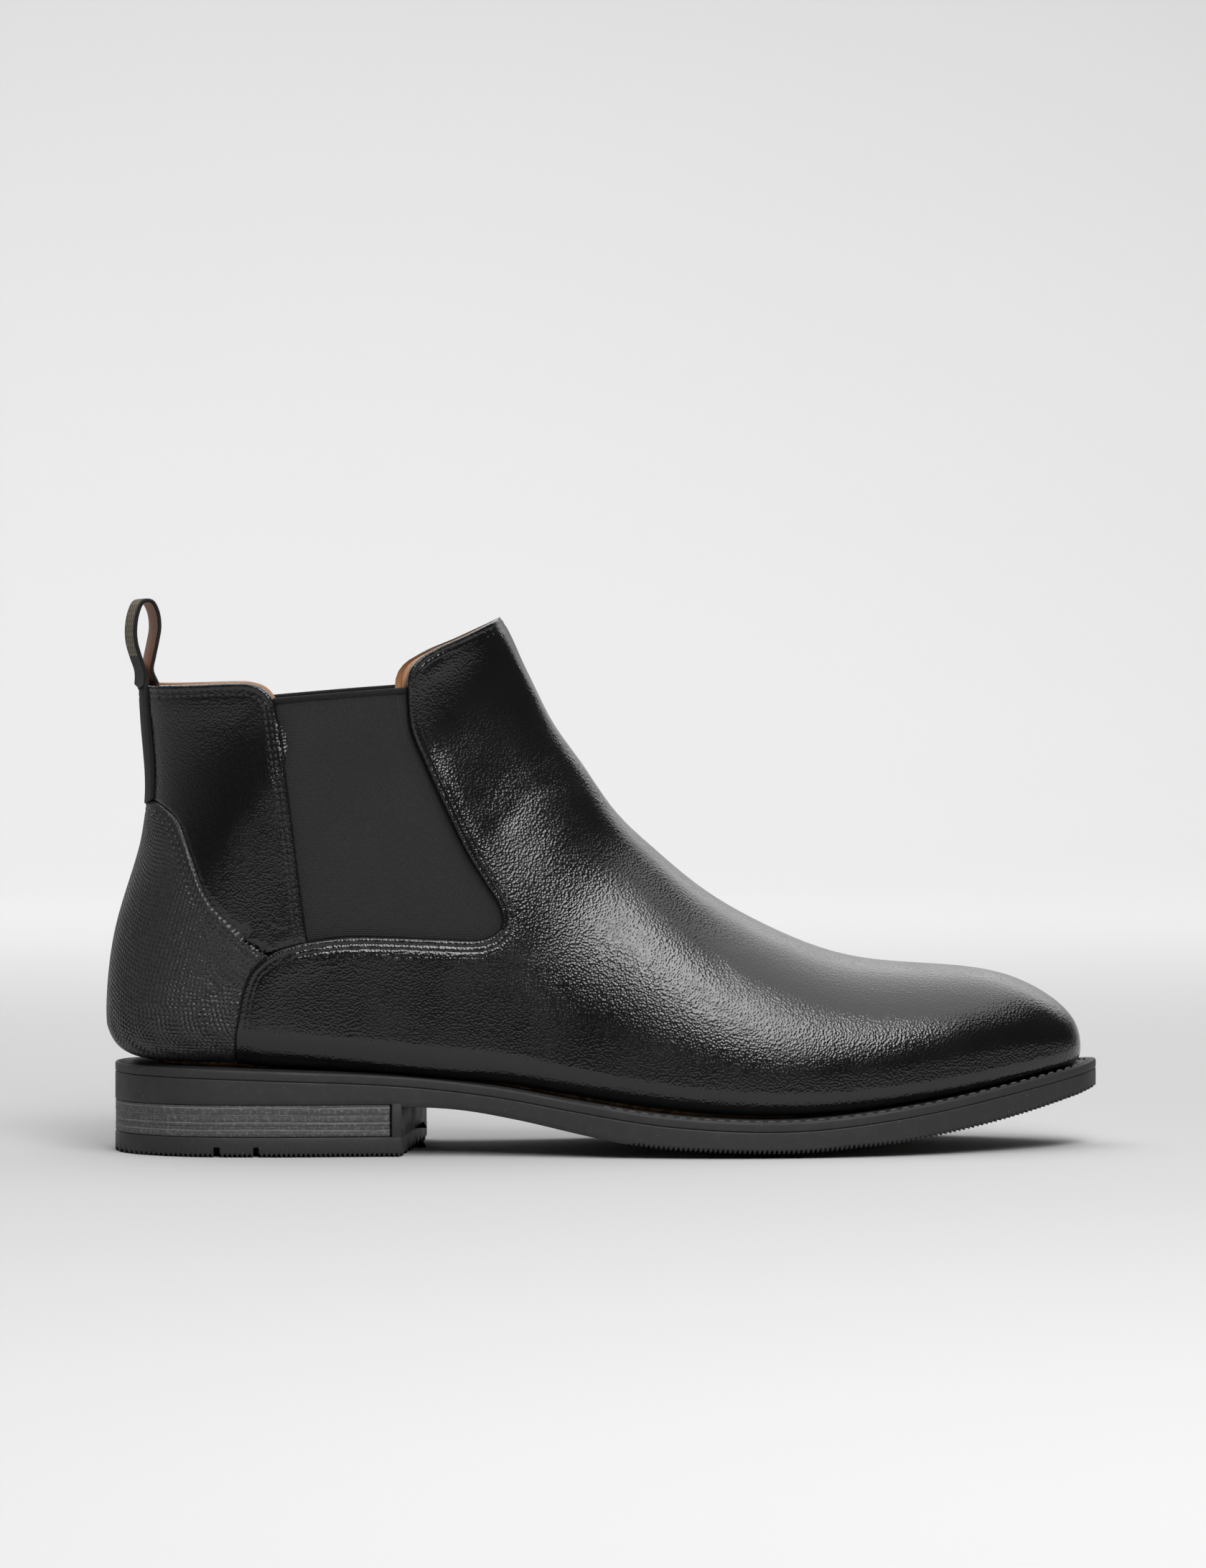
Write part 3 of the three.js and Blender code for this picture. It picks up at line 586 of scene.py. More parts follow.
def quarter_grid(rows, columns, under):
    """(u, turn) between the counter, the back line, the collar and the gore."""
    foot = offset_line(quarter_foot[quarter_foot[:, 0] > 10.2], -under)
    foot = np.stack(find(foot), 1)
    collar = np.stack(find(collar_back[collar_back[:, 0] > 9.2]), 1)
    gore = np.stack(find(gore_back[::-1]), 1)
    u_back = back_line(107, 144.2, 40)
    back = np.stack([u_back, np.full(40, 0.012)], 1)
    foot[0], collar[0] = back[0], back[-1]
    foot[-1], collar[-1] = gore[0], gore[-1]
    patch = coons(foot, collar, back, gore, closer_at_end(rows, 0.03), closer_at_end(columns, 0.05))
    return patch[..., 0], patch[..., 1]


def quarter_height(p):
    edge = np.concatenate([collar_back[collar_back[:, 0] > 6], gore_back[1:]])
    under_counter = tucked_edge(distance_to(p, quarter_foot), 0.8)
    return folded_edge(distance_to(p, edge), 0.3) + under_counter + puckers(p, QUARTER_PUCKERS)


def make_quarter(side_name, side):
    u, turn = quarter_grid(90, 70, 1.5)
    height = height_near(u, turn, quarter_height)
    return panel(f"quarter_{side_name}_leather", u, turn, height, PANEL, True, side)


def lower_edge(piece, edge, drop):
    """Lets a lining end a little under the leather's folded edge."""
    points = np.array([vertex.co[:] for vertex in piece.data.vertices]) * 1000 + SHIFT
    sink = drop * np.exp(-distance_to(points[:, [0, 2]], edge) / 4)
    for vertex, amount in zip(piece.data.vertices, sink):
        vertex.co.z -= amount / 1000


def make_quarter_lining():
    u, turn = quarter_grid(40, 36, 1.5)
    u, turn = np.concatenate([u[:, ::-1], u], 1), np.concatenate([turn[:, ::-1], -turn], 1)
    edge = np.concatenate([collar_back, gore_back[1:]])
    height = height_near(u, turn, lambda p: lining_height(p, edge))
    lining = panel("quarter_lining_leather", u, turn, height, LINING, True)
    lower_edge(lining, collar_back, 2.0)
    return lining


def make_heel_lining():
    u, turn = counter_grid(44, 30)
    return panel("heel_lining_leather", u, turn, np.full(u.shape, -LINING_AT), LINING, True)


def gore_top(x, side):
    """Height of the gore's bound top edge; the medial one is cut a little higher."""
    return np.interp(x, *np.array(GORE_TOP).T) + (0 if side > 0 else 0.8)


def gore_grid(rows, columns, lap, side):
    front = offset_line(gore_front, -lap)
    back = offset_line(gore_back[::-1], lap)
    foot = offset_line(gore_foot, -lap)
    foot = foot[(foot[:, 0] > back[0, 0]) & (foot[:, 0] < front[0, 0] + 1)]
    foot = np.concatenate([back[:1] * [1, 0] + [0, foot[0, 1]], foot, front[:1]])
    top = np.stack([np.linspace(back[-1, 0], front[-1, 0], 50)] * 2, 1)
    top[:, 1] = gore_top(top[:, 0], side) - 0.9
    back = np.concatenate([foot[:1], back[back[:, 1] < top[0, 1]], top[:1]])
    front = np.concatenate([foot[-1:], front[front[:, 1] < top[-1, 1]], top[-1:]])
    return coons(foot, top, back, front, np.linspace(0, 1, rows), np.linspace(0, 1, columns))


def make_gore(side_name, side):
    patch = gore_grid(120, 260, 3.0, side)
    u, turn = find(patch.reshape(-1, 2))
    u, turn = u.reshape(patch.shape[:2]), turn.reshape(patch.shape[:2])
    smooth = surface(u, turn)
    across = cloth_uv(smooth)[..., 0]
    ribs = 0.05 * np.abs(np.sin(math.pi * across / RIB)) ** 0.7
    lean = distance_to(patch.reshape(-1, 2), gore_edge).reshape(u.shape)
    height = -MIDDLE_AT + ribs - 0.15 * np.exp(-lean / 3)
    return panel(f"gore_{side_name}_elastic", u, turn, height, MIDDLE, True, side)


def tube_faces(rows, count, flip):
    """Faces round a tube of points, with flat ends."""
    ends = [list(range(count)), [(rows - 1) * count + i for i in range(count)][::-1]]
    return grid_faces(rows, count, 0, flip, True) + ([end[::-1] for end in ends] if flip else ends)


def sweep(name, centres, ups, outs, profile, flip):
    """A closed profile of [out, up] points carried along centres, with flat ends."""
    rows = centres[:, None] + profile[None, :, 0:1] * outs[:, None] + profile[None, :, 1:2] * ups[:, None]
    faces = tube_faces(len(centres), len(profile), flip)
    uv = np.stack(np.broadcast_arrays(lengths(centres)[:, None], lengths(profile)[None, :]), -1)
    return make_object(name, rows.reshape(-1, 3), faces, uv.reshape(-1, 2))


def rounded_box(width, height, radius):
    points = []
    for i, (sx, sy) in enumerate(((1, 1), (-1, 1), (-1, -1), (1, -1))):
        for turn in np.linspace(0, math.pi / 2, 4) + i * math.pi / 2:
            points.append((
                sx * (width / 2 - radius) + radius * math.cos(turn),
                sy * (height / 2 - radius) + radius * math.sin(turn),
            ))
    return np.array(points)


def normals_at(u, turn, side):
    step = 0.01
    du = surface(u + step, turn * side) - surface(u - step, turn * side)
    dv = surface(u, (turn + step) * side) - surface(u, (turn - step) * side)
    n = np.cross(du, dv)
    n /= np.maximum(1e-9, np.linalg.norm(n, axis=1, keepdims=True))
    outward = np.array([0, -side, 0])
    return n * np.sign(n @ outward + 1e-9)[:, None]


def make_binding(side_name, side):
    x = np.linspace(48.4, 90.6, 90)
    u, turn = find(np.stack([x, gore_top(x, side) - 0.8], 1))
    centres = surface(u, turn * side, MIDDLE_AT + MIDDLE / 2)
    outs = normals_at(u, turn, side)
    tangent = np.gradient(centres, axis=0)
    ups = np.cross(tangent, outs) * side
    ups /= np.linalg.norm(ups, axis=1, keepdims=True)
    ups *= np.sign(ups[:, 2:3])
    profile = rounded_box(2.1, 1.9, 0.6)
    return sweep(f"gore_binding_{side_name}_tape", centres, ups, outs, profile, side > 0)


def make_back_strip():
    u = back_line(STRIP_LOW, STRIP_HIGH, 90)
    turn = np.arcsin(STRIP_HALF / 31.8) * np.linspace(1, -1, 61)
    u, turn = np.broadcast_arrays(u[:, None], turn[None, :])
    turn = np.where(turn == 0, 1e-6, turn)
    seen = surface(u, turn)
    edge = STRIP_HALF - np.abs(seen[..., 1])
    z = seen[..., 2]
    top, foot = STRIP_HIGH - z, z - STRIP_LOW
    near = np.minimum(np.minimum(edge, top), foot + 0.3)
    dents = 0.12 * (bump(edge, 1.5, 0.35) + bump(top, 2.2, 0.35) + bump(top, 3.8, 0.35))
    height = 1.15 - rolled(near, 0.5) - dents + 0.02 * np.sin(z * 2 * math.pi / 0.9)
    return panel("back_strip_tape", u, turn, height, STRIP, True)


# ---------------------------------------------------------------- the pull loop
def loop_line():
    """The tape's middle line from inside the collar, up round the loop and down the outside, as [x, z]."""
    inside = [(14.2, 137.5), (13.5, 142), (11.5, 145.8)]
    front = [(10.2, 149.2), (10.9, 153.3), (11.9, 158), (12.6, 162.6), (12.0, 167.3), (10.2, 170.4)]
    back = [(7.6, 170.4), (5.9, 167.3), (5.0, 162), (5.3, 157.5), (6.6, 153), (7.9, 149.2)]
    outside = [(8.1, 146.4), (7.75, 143.2)]
    return smooth_line(inside + front + back + outside, 0.35)


def loop_profile():
    """The tape's section as [across, out] points, and how many of them are on its outer side."""
    half = LOOP_WIDTH / 2
    turns = np.linspace(-math.pi / 2, math.pi / 2, 7)
    r = LOOP_THICK / 2
    across = np.linspace(half - r, -half + r, 33)
    edge_out = [(half - r + r * math.cos(t), r * math.sin(t)) for t in turns]
    flat_out = [(y, r * (1 + 0.05 * math.sin(y * 2 * math.pi / 1.1))) for y in across[1:-1]]
    edge_in = [(-half + r - r * math.cos(t), r * math.sin(-t)) for t in turns]
    flat_in = [(y, -r) for y in across[::-1][1:-1]]
    return np.array(edge_out + flat_out + edge_in + flat_in), len(edge_out) + len(flat_out)


def make_pull_loop():
    """The loop, with how many of its section's points are on the outer side, and how many there are."""
    line, along = walk(loop_line(), 0.35)
    d = np.gradient(line, axis=0)
    d /= np.linalg.norm(d, axis=1, keepdims=True)
    normal = np.stack([d[:, 1], np.zeros(len(d)), -d[:, 0]], 1)
    centres = np.stack([line[:, 0], np.zeros(len(line)), line[:, 1]], 1)
    ribs = 1 + 0.06 * np.sin(along * 2 * math.pi / 0.8)
    profile, outside_count = loop_profile()
    y_axis = np.array([0.0, 1.0, 0.0])
    rows = (
        centres[:, None]
        + profile[None, :, 0:1] * y_axis
        + (profile[:, 1][None, :] * ribs[:, None])[..., None] * normal[:, None]
    )
    turned = LOOP_TURN * np.clip((rows[..., 2] - 143.6) / 1.2, 0, 1)
    x, y = rows[..., 0] - LOOP_X, rows[..., 1].copy()
    rows[..., 0] = LOOP_X + x * np.cos(turned) - y * np.sin(turned)
    rows[..., 1] = x * np.sin(turned) + y * np.cos(turned)
    faces = tube_faces(len(centres), len(profile), True)
    uv = np.stack(np.broadcast_arrays(profile[None, :, 0], along[:, None]), -1)
    made = make_object("pull_loop_webbing", rows.reshape(-1, 3), faces, uv.reshape(-1, 2))
    return made, outside_count, len(profile)


# ---------------------------------------------------------------- the bottom
def inset_ring(points, distance):
    """A closed plan outline moved in, square to itself."""
    d = np.roll(points, -3, 0) - np.roll(points, 3, 0)
    d /= np.maximum(1e-9, np.linalg.norm(d, axis=1, keepdims=True))
    return points + distance * np.stack([-d[:, 1], d[:, 0]], 1)


def sole_ring(step):
    line = smooth_line(SOLE_OUTLINE, step, True)
    closed, _ = walk(np.concatenate([line, line[:1]]), step)
    return closed[:-1]


def ring_stack(name, outline, levels, close=False):
    """Rings round an outline. Each level is (inset, height function of x and y, share of the width kept)."""
    around = np.cumsum(np.linalg.norm(outline - np.roll(outline, 1, 0), axis=1))
    rings, uv = [], []
    drop = 0.0
    for inset, height, keep in levels:
        plan = inset_ring(outline, inset)
        middle = (plan[:, 1].max() + plan[:, 1].min()) / 2
        plan = np.stack([plan[:, 0], middle + (plan[:, 1] - middle) * keep], 1)
        ring = np.concatenate([plan, height(plan[:, 0], plan[:, 1])[:, None]], 1)
        drop += np.median(np.linalg.norm(ring - rings[-1], axis=1)) if rings else 0
        rings.append(ring)
        uv.append(np.stack([around, np.full(len(around), -drop)], 1))
    if close:
        rings.append(rings[0])
        uv.append(uv[0])
    faces = grid_faces(len(rings), len(outline), 0, True, True)
    return make_object(name, np.concatenate(rings), faces, np.concatenate(uv))


def cap_levels(inset, height, inward):
    """Levels that close a flat end, by narrowing a ring to a line."""
    shares = [1, 0.75, 0.5, 0.25, 0.0]
    return [(inset, height, k) for k in (shares if inward else shares[::-1])]


def make_welt():
    levels = [(inset, lambda x, y, rise=rise: sole_top(x) + rise, 1) for inset, rise in WELT_LIP]
    return ring_stack("welt_rubber", sole_ring(1.0), levels, close=True)


def tooth(x):
    """Rounded notches side by side: 0 at the tips and 1 at the bottom of a notch."""
    return np.clip(1.3 * np.sin(math.pi * x / TREAD_PITCH) ** 2 - 0.15, 0, 1)


def front_at(y):
    """X of the heel's skewed front face, at a distance across the boot."""
    return BREAST_X + BREAST_SKEW * (y + HEEL_HALF)


def outsole_ground(x, y):
    """Height of the outsole's underside: flat over the heel, and curved in front of it."""
    return np.where(x < front_at(y) - 0.5, HEEL_SEAT_Z, sole_bottom(np.maximum(x, 81)))


def tread_share(x):
    """1 along the forepart, where the sole is toothed, and 0 at the waist and at the very tip."""
    return np.clip((x - TREAD_BACK) / 3, 0, 1) * np.clip((SOLE_LENGTH - 0.5 - x) / 1, 0, 1)


def camber(x, inset):
    """How far the forepart's rim lifts off the ground; the toe's end is level across."""
    toe = smooth_step((x - 222) / 26)
    rounded = max(0.0, 1 - inset / CAMBER_REACH) ** 1.5
    return CAMBER * smooth_step((x - 148) / 38) * (rounded * (1 - toe) + TOE_CAMBER * toe)


def make_outsole():
    roof = lambda drop: (lambda x, y: sole_top(x) - WELT - 0.05 - drop)
    low = lambda inset, rise: (lambda x, y: outsole_ground(x, y) + camber(x, inset) + rise)
    comb = lambda inset, rise: (lambda x, y: low(inset, rise)(x, y) + tread_share(x) * TREAD_DEPTH * tooth(x))
    floor = lambda inset: (lambda x, y: low(inset, 0)(x, y) + tread_share(x) * TREAD_DEPTH)
    levels = cap_levels(14, roof(0), False)
    levels += [(0.5, roof(0), 1), (0.2, roof(0.1), 1), (0.03, roof(0.3), 1), (0, roof(0.6), 1)]
    levels += [(0, lambda x, y: np.maximum(low(0, 2.2)(x, y), roof(3.5)(x, y)), 1)]
    levels += [(0, low(0, 1.7), 1), (0, comb(0, 0.25), 1), (0.2, comb(0, 0.02), 1)]
    levels += [(inset, comb(inset, 0), 1) for inset in (1.5, 3.2)]
    levels += [(3.5, floor(3.5), 1), (6.5, floor(6.5), 1)] + cap_levels(9.4, floor(9.4), True)
    return ring_stack("outsole_rubber", sole_ring(0.3), levels)


def heel_plan(behind, step):
    """The heel's plan outline, with its straight skewed front a distance behind the front face."""
    ring = sole_ring(step)
    kept = ring[ring[:, 0] < front_at(ring[:, 1]) - behind]
    start = int(np.argmax(np.linalg.norm(kept - np.roll(kept, 1, 0), axis=1)))
    kept = np.roll(kept, -start, 0)
    straight, _ = walk(np.array([kept[-1], kept[0]]), step)
    return np.concatenate([kept, straight[1:-1]])


def level(z):
    return lambda x, y: np.full(np.shape(x), float(z))


def make_lift(i):
    low = TOP_LIFT + GAP + i * (LIFT + GAP) - 0.15
    high = low + LIFT + GAP
    levels = cap_levels(6, level(high), False)
    skin = 0.1 + 0.05 * (i % 2)
    wall = [(skin + 0.16, high), (skin + 0.05, high - 0.12), (skin, high - 0.35)]
    wall += [(skin + 0.05 * math.sin(k * 2.1), high - 0.35 - (LIFT - 0.4) * k / 6) for k in range(1, 6)]
    wall += [(skin, low + 0.35), (skin + 0.05, low + 0.12), (skin + 0.16, low)]
    levels += [(inset, level(z), 1) for inset, z in wall]
    levels += cap_levels(6, level(low), True)
    return ring_stack(f"heel_lift_{i + 1}_leather", heel_plan(BREAST_FLAP - 0.12, 0.8), levels)


def make_flap():
    """The rubber that turns down over the heel's front."""
    ring = sole_ring(0.5)
    sides = []
    for sign in (-1, 1):
        half = ring[(ring[:, 1] * sign > 0) & (np.abs(ring[:, 0] - 90) < 20)]
        front = half[np.argmin(np.abs(half[:, 0] - front_at(half[:, 1])))]
        back = half[np.argmin(np.abs(half[:, 0] - front_at(half[:, 1]) + BREAST_FLAP))]
        sides.append((front, back))
    (lf, lb), (mf, mb) = sides
    step = 0.6
    plan = walk(np.array([lf, mf, mb, lb, lf]), step)[0][:-1]
    z0, z1 = TOP_LIFT - 0.05, HEEL_SEAT_Z + 0.6
    rings = []
    for inset, z in ((0.3, z1), (0.0, z1 - 0.3), (0.0, z0 + 0.15), (0.1, z0)):
        rings.append(np.concatenate([inset_ring(plan, inset), np.full((len(plan), 1), z)], 1))
    faces = grid_faces(4, len(plan), 0, True, True)
    faces.append(list(range(len(plan))))
    faces.append([3 * len(plan) + i for i in range(len(plan))][::-1])
    uv = np.stack([np.tile(np.arange(len(plan)) * step, 4), np.repeat([0, 1, 9, 10], len(plan))], 1)
    return make_object("heel_front_rubber", np.concatenate(rings), faces, uv)


def make_top_lift():
    outline = heel_plan(0, 0.3)
    low = lambda rise: (lambda x, y: TREAD_DEPTH * tooth(x) + rise)
    levels = cap_levels(6, level(TOP_LIFT), False)
    wall = [(0.5, 0), (0.15, 0.15), (0.0, 0.5), (0.0, 2.55)]
    levels += [(inset, level(TOP_LIFT - drop), 1) for inset, drop in wall]
    levels += [(0, level(NOTCH_HEIGHT), 1), (0, level(NOTCH_HEIGHT - 0.15), 1)]
    levels += [(0, low(0.3), 1), (0.2, low(0.03), 1)]
    levels += [(1.5, low(0), 1), (5, low(0), 1), (8.8, low(0), 1), (9.2, level(0), 1)]
    levels += cap_levels(9.4, level(0), True)
    made = ring_stack("top_lift_rubber", outline, levels)
    cut_notches(made)
    return made


def cut_notches(made):
    """Pushes the lower wall in at the notches, which leaves two square slots on each side."""
    low = to_row([0, 0, NOTCH_HEIGHT - 0.1])[2]
    for vertex in made.data.vertices:
        x = vertex.co.x * 1000 - SHIFT[0]
        y = vertex.co.y * 1000 - SHIFT[1]
        inside = any(at < x < at + NOTCH_WIDTH for at in NOTCHES)
        if inside and vertex.co.z < low and abs(y) > HEEL_HALF - 10:
            vertex.co.y -= math.copysign(NOTCH_DEPTH / 1000, y)


def make_sock():
    """The leather sock over the insole, slightly dished at the heel."""
    x = np.linspace(7.5, 291, 150)
    z = sole_top(x) + INSIDE_AT + 4.0
    u, turn = find(np.stack([x, z + 1.0], 1))
    lateral = surface(u, turn, INSIDE_AT + 0.2)[:, 1]
    medial = surface(u, -turn, INSIDE_AT + 0.2)[:, 1]
    inwards = np.clip(np.minimum((x - 7) / 26, (292 - x) / 30), 0, 1)
    rounding = np.sqrt(inwards * 2 - inwards**2)
    k = np.linspace(-1, 1, 41)
    middle = (lateral + medial) / 2
    half = (medial - lateral) / 2 * np.maximum(rounding, 0.03)
    y = middle[:, None] + half[:, None] * k[None, :]
    dish = 1.2 * np.abs(k[None, :]) ** 3
    top = z[:, None] + dish
    upper = np.stack([np.broadcast_to(x[:, None], y.shape), y, top], -1)
    lower = upper - np.array([0, 0, SOCK])
    return shell_object("sock_liner_leather", upper, lower, cloth_uv(upper))


# ---------------------------------------------------------------- stitches
THREAD_RINGS, THREAD_SIDES = 5, 6


def capsule(length, radius):
    """Points of a rounded thread along its own X, sunk at both ends."""
    t = np.linspace(-1, 1, THREAD_RINGS)
    r = radius * np.sqrt(np.clip(1 - np.abs(t) ** 3 * 0.75, 0, 1))
    sag = -radius * 0.9 * np.abs(t) ** 3
    a = np.linspace(0, 2 * math.pi, THREAD_SIDES, endpoint=False)
    x = np.broadcast_to((t * length / 2)[:, None], (THREAD_RINGS, THREAD_SIDES))
    return np.stack([x, r[:, None] * np.cos(a), sag[:, None] + r[:, None] * np.sin(a)], -1).reshape(-1, 3)


def thread_object(name, centres, alongs, ups, length, radius):
    """One object of many threads, each with its own middle, direction and outward normal."""
    shape = capsule(length, radius)
    faces_one = tube_faces(THREAD_RINGS, THREAD_SIDES, False)
    alongs = alongs / np.linalg.norm(alongs, axis=1, keepdims=True)
    acrosses = np.cross(ups, alongs)
    acrosses /= np.linalg.norm(acrosses, axis=1, keepdims=True)
    ups = np.cross(alongs, acrosses)
    axes = np.stack([alongs, acrosses, ups], 1)
    points = centres[:, None] + np.einsum("kj,ijl->ikl", shape, axes)
    faces = [[v + i * len(shape) for v in face] for i in range(len(centres)) for face in faces_one]
    uv = np.tile(shape[:, :2], (len(centres), 1))
    return make_object(name, points.reshape(-1, 3), faces, uv)


def stitches_on(lines, side, height):
    """Places, directions and outward normals of stitches along [x, z] lines."""
    centres, alongs, ups = [], [], []
    for line in lines:
        points, _ = walk(line, STITCH)
        points = (points[1:] + points[:-1]) / 2
        u, turn = find(points)
        good = (turn > 0.02) & (turn < math.pi - 0.03)
        u, turn = u[good], turn[good]
        if len(u) < 3:
            continue
        up = normals_at(u, turn, side)
        centre = surface(u, turn * side) + up * height
        centres.append(centre)
        alongs.append(np.gradient(centre, axis=0))
        ups.append(up)
    return np.concatenate(centres), np.concatenate(alongs), np.concatenate(ups)


def double_rows(line, sign):
    """Two lines of stitches beside an edge, to its left where sign is 1."""
    return [offset_line(line, sign * (FIRST_ROW + ROW_GAP * k)) for k in range(2)]


def make_stitches(name, lines, height):
    """The same rows of stitches on the lateral and the medial side."""
    sides = [stitches_on(lines, side, height) for side in (1, -1)]
    centres, alongs, ups = [np.concatenate([a, b]) for a, b in zip(*sides)]
    return thread_object(name, centres, alongs, ups, THREAD_LENGTH, THREAD_RADIUS)


def make_welt_stitches():
    """One row round the forepart, from the waist's lateral side to its medial side."""
    ring = inset_ring(sole_ring(0.5), WELT_ROW)
    start = int(np.argmin(np.abs(ring[:, 0] - 150) + (ring[:, 1] > 0) * 1e3))
    ring = np.roll(ring, -start, 0)
    end = int(np.argmax((ring[:, 1] > 10) & (ring[:, 0] < 150)))
    points, _ = walk(ring[:end], WELT_STITCH)
    tangent = np.gradient(points, axis=0)
    z = sole_top(points[:, 0])
    slope = (sole_top(points[:, 0] + 1) - sole_top(points[:, 0] - 1)) / 2
    centres = np.column_stack([points, z + 0.35])
    alongs = np.column_stack([tangent, tangent[:, 0] * slope])
    ups = np.tile([0.0, 0.0, 1.0], (len(points), 1))
    return thread_object("welt_stitches", centres, alongs, ups, 3.0, 0.42)


def make_bar_tacks():
    """Two hand-sewn bars where the counter, the quarter and the vamp meet."""
    places = [(40.9, 68.4), (45.7, 64.6)]
    bars = [np.array([(x - 0.9, z - 1.5), (x, z), (x + 0.9, z + 1.5)]) for x, z in places]
    parts = []
    for side in (1, -1):
        for bar in bars:
            for shift in (-0.35, 0.0, 0.35):
                u, turn = find(bar + [shift, -shift])
                up = normals_at(u, turn, side)[1:2]
                line = surface(u, turn * side)
                parts.append((line[1:2] + up * 0.55, line[2:3] - line[0:1], up))
    centres, alongs, ups = [np.concatenate(p) for p in zip(*parts)]
    return thread_object("bar_tacks", centres, alongs, ups, 3.6, 0.26)


# ---------------------------------------------------------------- materials
class Nodes:
    """Short names for building one material's node tree round its Principled shader."""

    def __init__(self, name, color, roughness, **plain):
        self.material = bpy.data.materials.new(name)
        self.material.use_nodes = True
        self.tree = self.material.node_tree
        self.shader = self.tree.nodes["Principled BSDF"]
        self.shader.inputs["Base Color"].default_value = (*color, 1)
        self.shader.inputs["Roughness"].default_value = roughness
        for key, value in plain.items():
            self.shader.inputs[key.replace("_", " ")].default_value = value
        self.height = None

    def node(self, kind, inputs=(), **settings):
        made = self.tree.nodes.new(kind)
        for key, value in settings.items():
            setattr(made, key, value)
        for key, value in dict(inputs).items():
            if isinstance(value, bpy.types.NodeSocket):
                self.tree.links.new(value, made.inputs[key])
            else:
                made.inputs[key].default_value = value
        return made

    def place(self):
        return self.node("ShaderNodeTexCoord").outputs["Object"]

    def cloth(self):
        """The piece's own surface coordinates, in millimetres."""
        parts = self.node("ShaderNodeSeparateXYZ", {0: self.node("ShaderNodeTexCoord").outputs["UV"]})
        return parts.outputs[0], parts.outputs[1]

    def math(self, operation, a, b=0.0):
        return self.node("ShaderNodeMath", {0: a, 1: b}, operation=operation).outputs[0]

    def wave(self, value, pitch, power=2.0):
        """Ridges a pitch apart: 1 at their tops, 0 between them."""
        turned = self.math("MULTIPLY", value, math.pi / pitch)
        return self.math("POWER", self.math("ABSOLUTE", self.math("SINE", turned)), power)

    def noise(self, scale, detail=3.0, roughness=0.55):
        inputs = {"Vector": self.place(), "Scale": scale, "Detail": detail, "Roughness": roughness}
        return self.node("ShaderNodeTexNoise", inputs).outputs["Fac"]

    def cells(self, scale, output="Distance"):
        inputs = {"Vector": self.place(), "Scale": scale}
        return self.node("ShaderNodeTexVoronoi", inputs).outputs[output]

    def ramp(self, value, low, high, out_low=0.0, out_high=1.0):
        inputs = {0: value, 1: low, 2: high, 3: out_low, 4: out_high}
        return self.node("ShaderNodeMapRange", inputs).outputs[0]

    def mix(self, share, a, b):
        made = self.node("ShaderNodeMix", {"Factor": share}, data_type="RGBA")
        for socket, value in ((made.inputs[6], a), (made.inputs[7], b)):
            if isinstance(value, bpy.types.NodeSocket):
                self.tree.links.new(value, socket)
            else:
                socket.default_value = (*value, 1)
        return made.outputs[2]

    def bump(self, height, distance, strength=1.0):
        inputs = {"Height": height, "Distance": distance, "Strength": strength}
        if self.height is not None:
            inputs["Normal"] = self.height
        self.height = self.node("ShaderNodeBump", inputs).outputs[0]
        self.tree.links.new(self.height, self.shader.inputs["Normal"])

    def color(self, value):
        self.tree.links.new(value, self.shader.inputs["Base Color"])

    def roughness(self, value):
        self.tree.links.new(value, self.shader.inputs["Roughness"])


def add_grain(m, strength=1.0):
    """Fine pores and soft unevenness of polished calf."""
    m.bump(m.noise(46, 2), 0.0008, 0.12 * strength)
    m.bump(m.noise(420, 1), 0.00006, 0.3 * strength)
    m.bump(m.cells(1300), 0.00011, 0.9 * strength)


def add_dust(m, base, light):
    """Tiny pale specks and a faint greyer bloom."""
    specks = m.ramp(m.cells(520), 0.07, 0.04)
    sparse = m.ramp(m.noise(130, 2), 0.6, 0.66)
    bloom = m.ramp(m.noise(24, 3), 0.45, 0.75, 0, 0.5)
    greyer = m.mix(bloom, base, tuple(c * 1.7 for c in base))
    m.color(m.mix(m.math("MULTIPLY", specks, sparse), greyer, light))


def calf():
    m = Nodes("calf_leather", (0.006, 0.006, 0.0063), 0.28, Specular_IOR_Level=0.6)
    m.roughness(m.ramp(m.noise(60, 3), 0.3, 0.7, 0.15, 0.25))
    add_grain(m)
    add_dust(m, (0.005, 0.005, 0.0053), (0.12, 0.12, 0.12))
    return m.material


def embossed_calf():
    m = Nodes("embossed_calf", (0.008, 0.008, 0.0085), 0.3, Specular_IOR_Level=0.6)
    across, up = m.cloth()
    leaning = m.math("ADD", up, m.math("MULTIPLY", m.math("ABSOLUTE", across), DIMPLE_LEAN))
    dots = m.math("MULTIPLY", m.wave(across, DIMPLE_PITCH, 1.4), m.wave(leaning, DIMPLE_PITCH, 1.4))
    dimple = m.ramp(dots, 0.3, 0.5)
    add_grain(m, 0.6)
    m.roughness(m.ramp(dimple, 0, 1, 0.27, 0.9))
    # Painted shade: the colour goes near black inside the dimples, where shade falls, and stays lighter
    # between them.
    m.color(m.mix(dimple, (0.03, 0.03, 0.0305), (0.001, 0.001, 0.001)))
    return m.material


def tape():
    black = (0.009, 0.009, 0.009)
    m = Nodes("black_tape", black, 0.8, Sheen_Weight=0.06, Sheen_Roughness=0.5, Specular_IOR_Level=0.25)
    across, up = m.cloth()
    m.bump(m.math("MULTIPLY", m.wave(across, 0.5), m.wave(up, 0.42)), 0.00018, 0.8)
    m.color(m.mix(m.noise(900, 2), (0.006, 0.006, 0.006), (0.016, 0.016, 0.016)))
    return m.material


